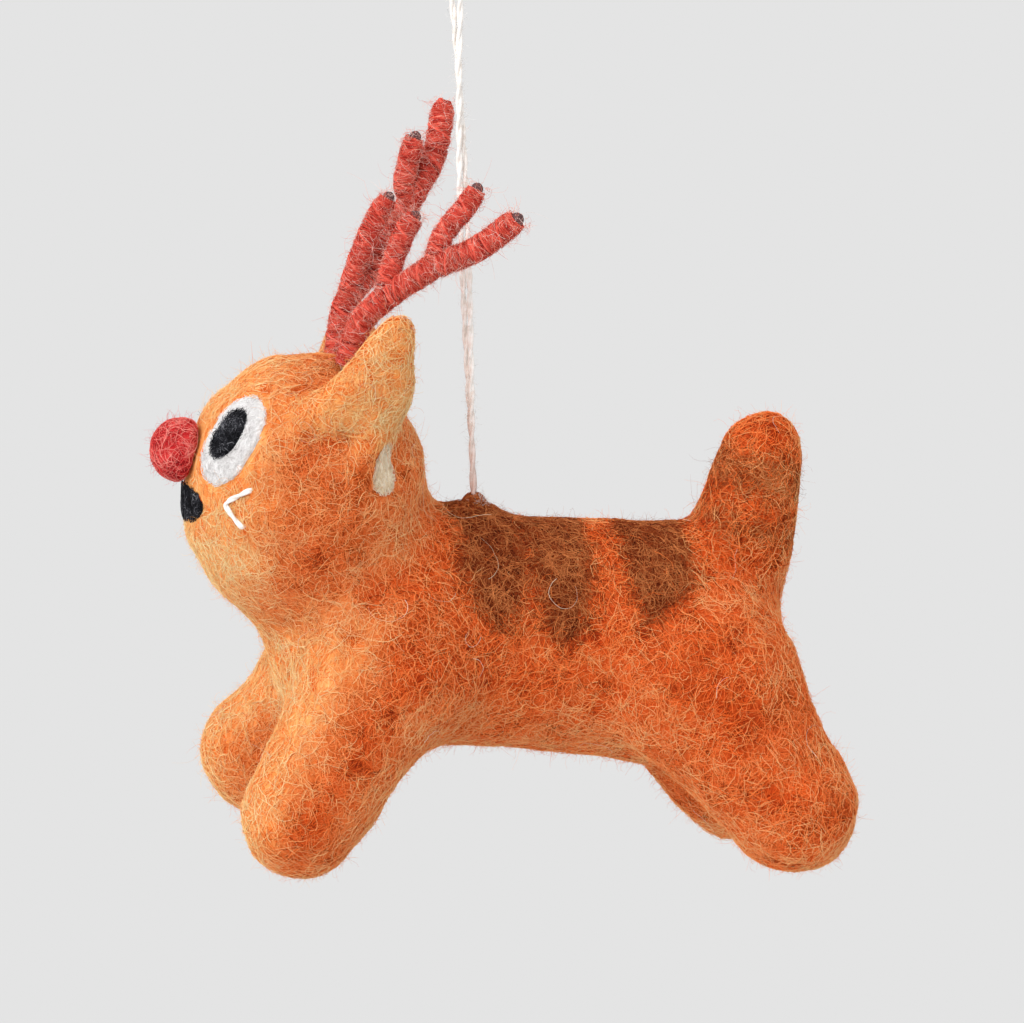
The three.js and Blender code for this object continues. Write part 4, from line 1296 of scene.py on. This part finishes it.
# Yarn along a stretch of a route, as points, faces and shades: fine turns, loose turns over them and a core
def wound(route, start, end, reach, tip, seed):
    length = length_of(route)
    turns = (end - start) / YARN_PITCH
    steps = int(turns * YARN_STEPS)
    share = np.linspace(0, 1, steps)
    angle = 2 * math.pi * turns * share + seed
    along = np.c_[start + (end - start) * share, np.full((steps, 2), seed * MM)]
    slant = 0.9 * MM * bumps(along, 5 * MM, seed + 1)
    places = np.clip(along[:, 0] + slant * np.sin(angle) * np.sin(math.pi * share), start, end)
    by_turn = np.c_[np.arange(steps) / YARN_STEPS, np.full((steps, 2), seed)]
    stem = stem_reach(places, reach, length, tip) * (1 + 0.06 * bumps(along, 3 * MM, seed))
    stem = stem + 0.07 * MM * bumps(by_turn, 0.8, seed + 3)
    yarn = tube(spots_round(route, places, angle, stem)[0], YARN_RADIUS, YARN_SIDES)
    tone = 0.42 + 0.3 * bumps(by_turn, 0.9, seed + 5) + 0.2 * bumps(by_turn, 0.15, seed + 6)
    turns = (end - start) / OVER_PITCH
    steps = max(12, int(turns * OVER_STEPS))
    places = np.linspace(start, end, steps)
    angle = seed * 2.1 - 2 * math.pi * turns * np.linspace(0, 1, steps)
    stem = stem_reach(places, reach, length, tip) + OVER_LIFT
    over = tube(spots_round(route, places, angle, stem)[0], YARN_RADIUS, YARN_SIDES)
    places = np.linspace(start, end, max(4, int((end - start) / CORE_STEP)))
    stem = stem_reach(places, reach, length, tip) * 0.93 - CORE_DEPTH
    core = tube(at_lengths(route, route, places), stem, WIRE_SIDES)
    # The core, in the darkest yarn shade, is painted shade that shows in the gaps between the turns
    plain = [np.full(len(over[0]), 0.6), np.full(len(core[0]), 0.1)]
    tones = np.concatenate([np.repeat(tone, YARN_SIDES), tone[[0, -1]], *plain])
    return *joined(yarn, over, core), tones


# The winding's reach at lengths along a route, which narrows towards a tip
def stem_reach(places, reach, length, tip):
    if not tip:
        return np.full(np.shape(places), reach)
    share = np.clip((length - places) / (3 * MM), 0, 1)
    return reach * (0.2 + 0.8 * np.sqrt(1 - (1 - share) ** 2))


# A wire with a round cap at its tip, or none where the cap is 0
def capped_wire(route, radius, cap):
    left = length_of(route) - lengths_along(route)
    share = np.clip(left / max(cap, radius), 0.02, 1)
    dome = max(cap, radius) * np.sqrt(1 - (1 - share) ** 2)
    return tube(route, np.where(left < 2 * MM, dome, radius), WIRE_SIDES)


def add_antler(name, plan):
    body = f"{name}_antler"
    spot, out = head_spot(*ANTLER_SPOT, SIDES[name])
    beam_points = spot + out * ROOT_GAP + np.array(plan["beam"]) * MM
    beam = smooth_route(beam_points, ROUTE_STEP)
    lengths = lengths_along(beam)
    fork_points = beam_points[[*plan["forks"]]]
    forks = [lengths[np.argmin(np.linalg.norm(beam - point, axis=1))] for point in fork_points]
    tines = {
        tine: smooth_route(point + np.array(plan[tine]) * MM, ROUTE_STEP)
        for tine, point in zip(("front", "middle"), fork_points)
    }
    spans = {
        "lower": (0, forks[0] - BINDING_BELOW),
        "middle": (forks[0] + BINDING_ABOVE, forks[1] - BINDING_BELOW),
        "tip": (forks[1] + BINDING_ABOVE, lengths[-1] - (BARE_TIP if plan["bare_tip"] else COVERED_TIP)),
    }
    made = []
    for stretch in plan["stretches"]:
        made.append((f"{stretch}_winding", wound(beam, *spans[stretch], BEAM_REACH, stretch == "tip", 3)))
    first_end = spans["middle"][0 if "middle" in plan["stretches"] else 1]
    for fork, bound_to, (tine, route) in zip(forks, (first_end, spans["tip"][0]), tines.items()):
        end = length_of(route) - BARE_TIP
        made.append((f"{tine}_tine_winding", wound(route, BINDING_ABOVE, end, TINE_REACH, True, 5)))
        along_beam = wound(beam, fork - BINDING_BELOW, bound_to, BEAM_REACH, False, 7)
        along_tine = wound(route, 0.4 * MM, BINDING_ABOVE, TINE_REACH, False, 9)
        shade = np.r_[along_beam[2], along_tine[2]]
        made.append((f"{tine}_fork_binding", (*joined(along_beam, along_tine), shade)))
    for label, (points, faces, shade) in made:
        piece = add_piece(f"{name}_antler_{label}_yarn", points, faces, red_yarn, body, shade)
        stand_for(f"{name}_antler_{label}")
    if plan["bare_tip"]:
        wires = [capped_wire(beam, BEAM_WIRE, BEAM_CAP)]
    else:
        wires = [capped_wire(beam[:-HIDDEN_POINTS], BEAM_WIRE, 0)]
    wires += [capped_wire(route, TINE_WIRE, TINE_CAP) for route in tines.values()]
    piece = add_piece(f"{name}_antler_core_wire", *joined(*wires), wire, body)
    stand_for(f"{name}_antler_wire")
    stems = [(beam, BEAM_REACH), (tines["front"], TINE_REACH), (tines["middle"], TINE_REACH)]
    add_antler_fibres(body, stems)
    add_antler_fuzz(body, stems)


# Fibres of the yarn that lie over its turns
def add_antler_fibres(body, stems):
    all_paths, all_out = [], []
    share = np.linspace(0, 1, HAIR_STEPS)
    for route, reach in stems:
        length = length_of(route)
        count = int(length / MM * ANTLER_FIBRES)
        start = rng.uniform(0.4 * MM, length - BARE_TIP, count)[:, None]
        advance = rng.normal(0, 0.8, count)[:, None] * MM
        turn = rng.uniform(0, 2 * math.pi, count)[:, None]
        sweep = rng.choice([-1, 1], count)[:, None] * rng.uniform(0.5, 2, count)[:, None]
        bow = rng.normal(0, 0.35, count)[:, None] * MM * np.sin(math.pi * share)
        places = np.clip(start + advance * share + bow, 0.3 * MM, length - BARE_TIP)
        stem = stem_reach(places, reach, length, True) + rng.uniform(0.1, 0.35, count)[:, None] * MM
        paths, out = spots_round(route, places, turn + sweep * share, stem)
        all_paths.append(paths)
        all_out.append(out[:, 0])
    paths, out = np.vstack(all_paths), np.vstack(all_out)
    count = len(paths)
    radii = THICK_HAIR * rng.uniform(0.6, 1.3, (count, 1)) * np.linspace(1, 0.6, HAIR_STEPS)
    add_fibres(f"{body}_fibres", paths, radii, out, fibre_shades(0.3, count, 0.28), red_fuzz, body)


def add_antler_fuzz(body, stems):
    all_paths = []
    for route, reach in stems:
        count = int(length_of(route) / MM * ANTLER_HAIRS)
        places = rng.uniform(0, length_of(route), count)
        starts, out = spots_round(route, places, rng.uniform(0, 2 * math.pi, count), reach)
        heading = unit(out * rng.uniform(0.05, 0.9, (count, 1)) + 0.7 * rng.normal(size=(count, 3)))
        all_paths.append(free_hairs(starts, heading, rng.gamma(2, 0.6, count) * MM + 0.5 * MM, 0.5))
    add_hairs(f"{body}_fuzz", np.vstack(all_paths), ANTLER_HAIR, red_fuzz, body, (0.65, 0.3))


for name, plan in ANTLERS.items():
    add_antler(name, plan)
    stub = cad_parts[f"{name}_antler_stub"]
    stub.data.materials.clear()
    stub.data.materials.append(wire)


# Stage

def add_sky():
    scene = bpy.context.scene
    scene.world = scene.world or bpy.data.worlds.new("studio")
    scene.world.use_nodes = True
    tree = scene.world.node_tree
    tree.nodes.clear()
    seen = add_node(tree, "Background", {"Color": (*BACKGROUND, 1)}).outputs["Background"]
    white = {"Color": (1, 1, 1, 1), "Strength": SKY_STRENGTH}
    lit = add_node(tree, "Background", white).outputs["Background"]
    rays = add_node(tree, "LightPath", {}).outputs
    seen_by = rays["Is Camera Ray"]
    for ray in ("Is Glossy Ray", "Is Transmission Ray"):
        seen_by = add_node(tree, "Math", {0: seen_by, 1: rays[ray]}, operation="MAXIMUM").outputs["Value"]
    mix = add_node(tree, "MixShader", {"Fac": seen_by, 1: lit, 2: seen})
    add_node(tree, "OutputWorld", {"Surface": mix.outputs["Shader"]})


def add_sun():
    sun = bpy.data.lights.new("soft_key", "SUN")
    sun.energy = SUN_STRENGTH
    sun.angle = SUN_ANGLE
    lamp = bpy.data.objects.new("soft_key", sun)
    lamp.rotation_euler = Vector(SUN_FROM).to_track_quat("Z", "Y").to_euler()
    bpy.context.collection.objects.link(lamp)


def add_floor():
    half = FLOOR_SIZE / 2
    mesh = bpy.data.meshes.new("floor")
    corners = [(-half, -half), (half, -half), (half, half), (-half, half)]
    mesh.from_pydata([(x, y, FLOOR_HEIGHT) for x, y in corners], [], [(0, 1, 2, 3)])
    floor = bpy.data.objects.new("floor", mesh)
    bpy.context.collection.objects.link(floor)
    material, tree, shader = new_material("floor_paper")
    feed(tree, shader, {"Base Color": (*FLOOR_COLOUR, 1), "Roughness": 1, "Specular IOR Level": 0})
    mesh.materials.append(material)


add_sky()
add_sun()
add_floor()
bpy.context.scene.view_settings.view_transform = "Standard"
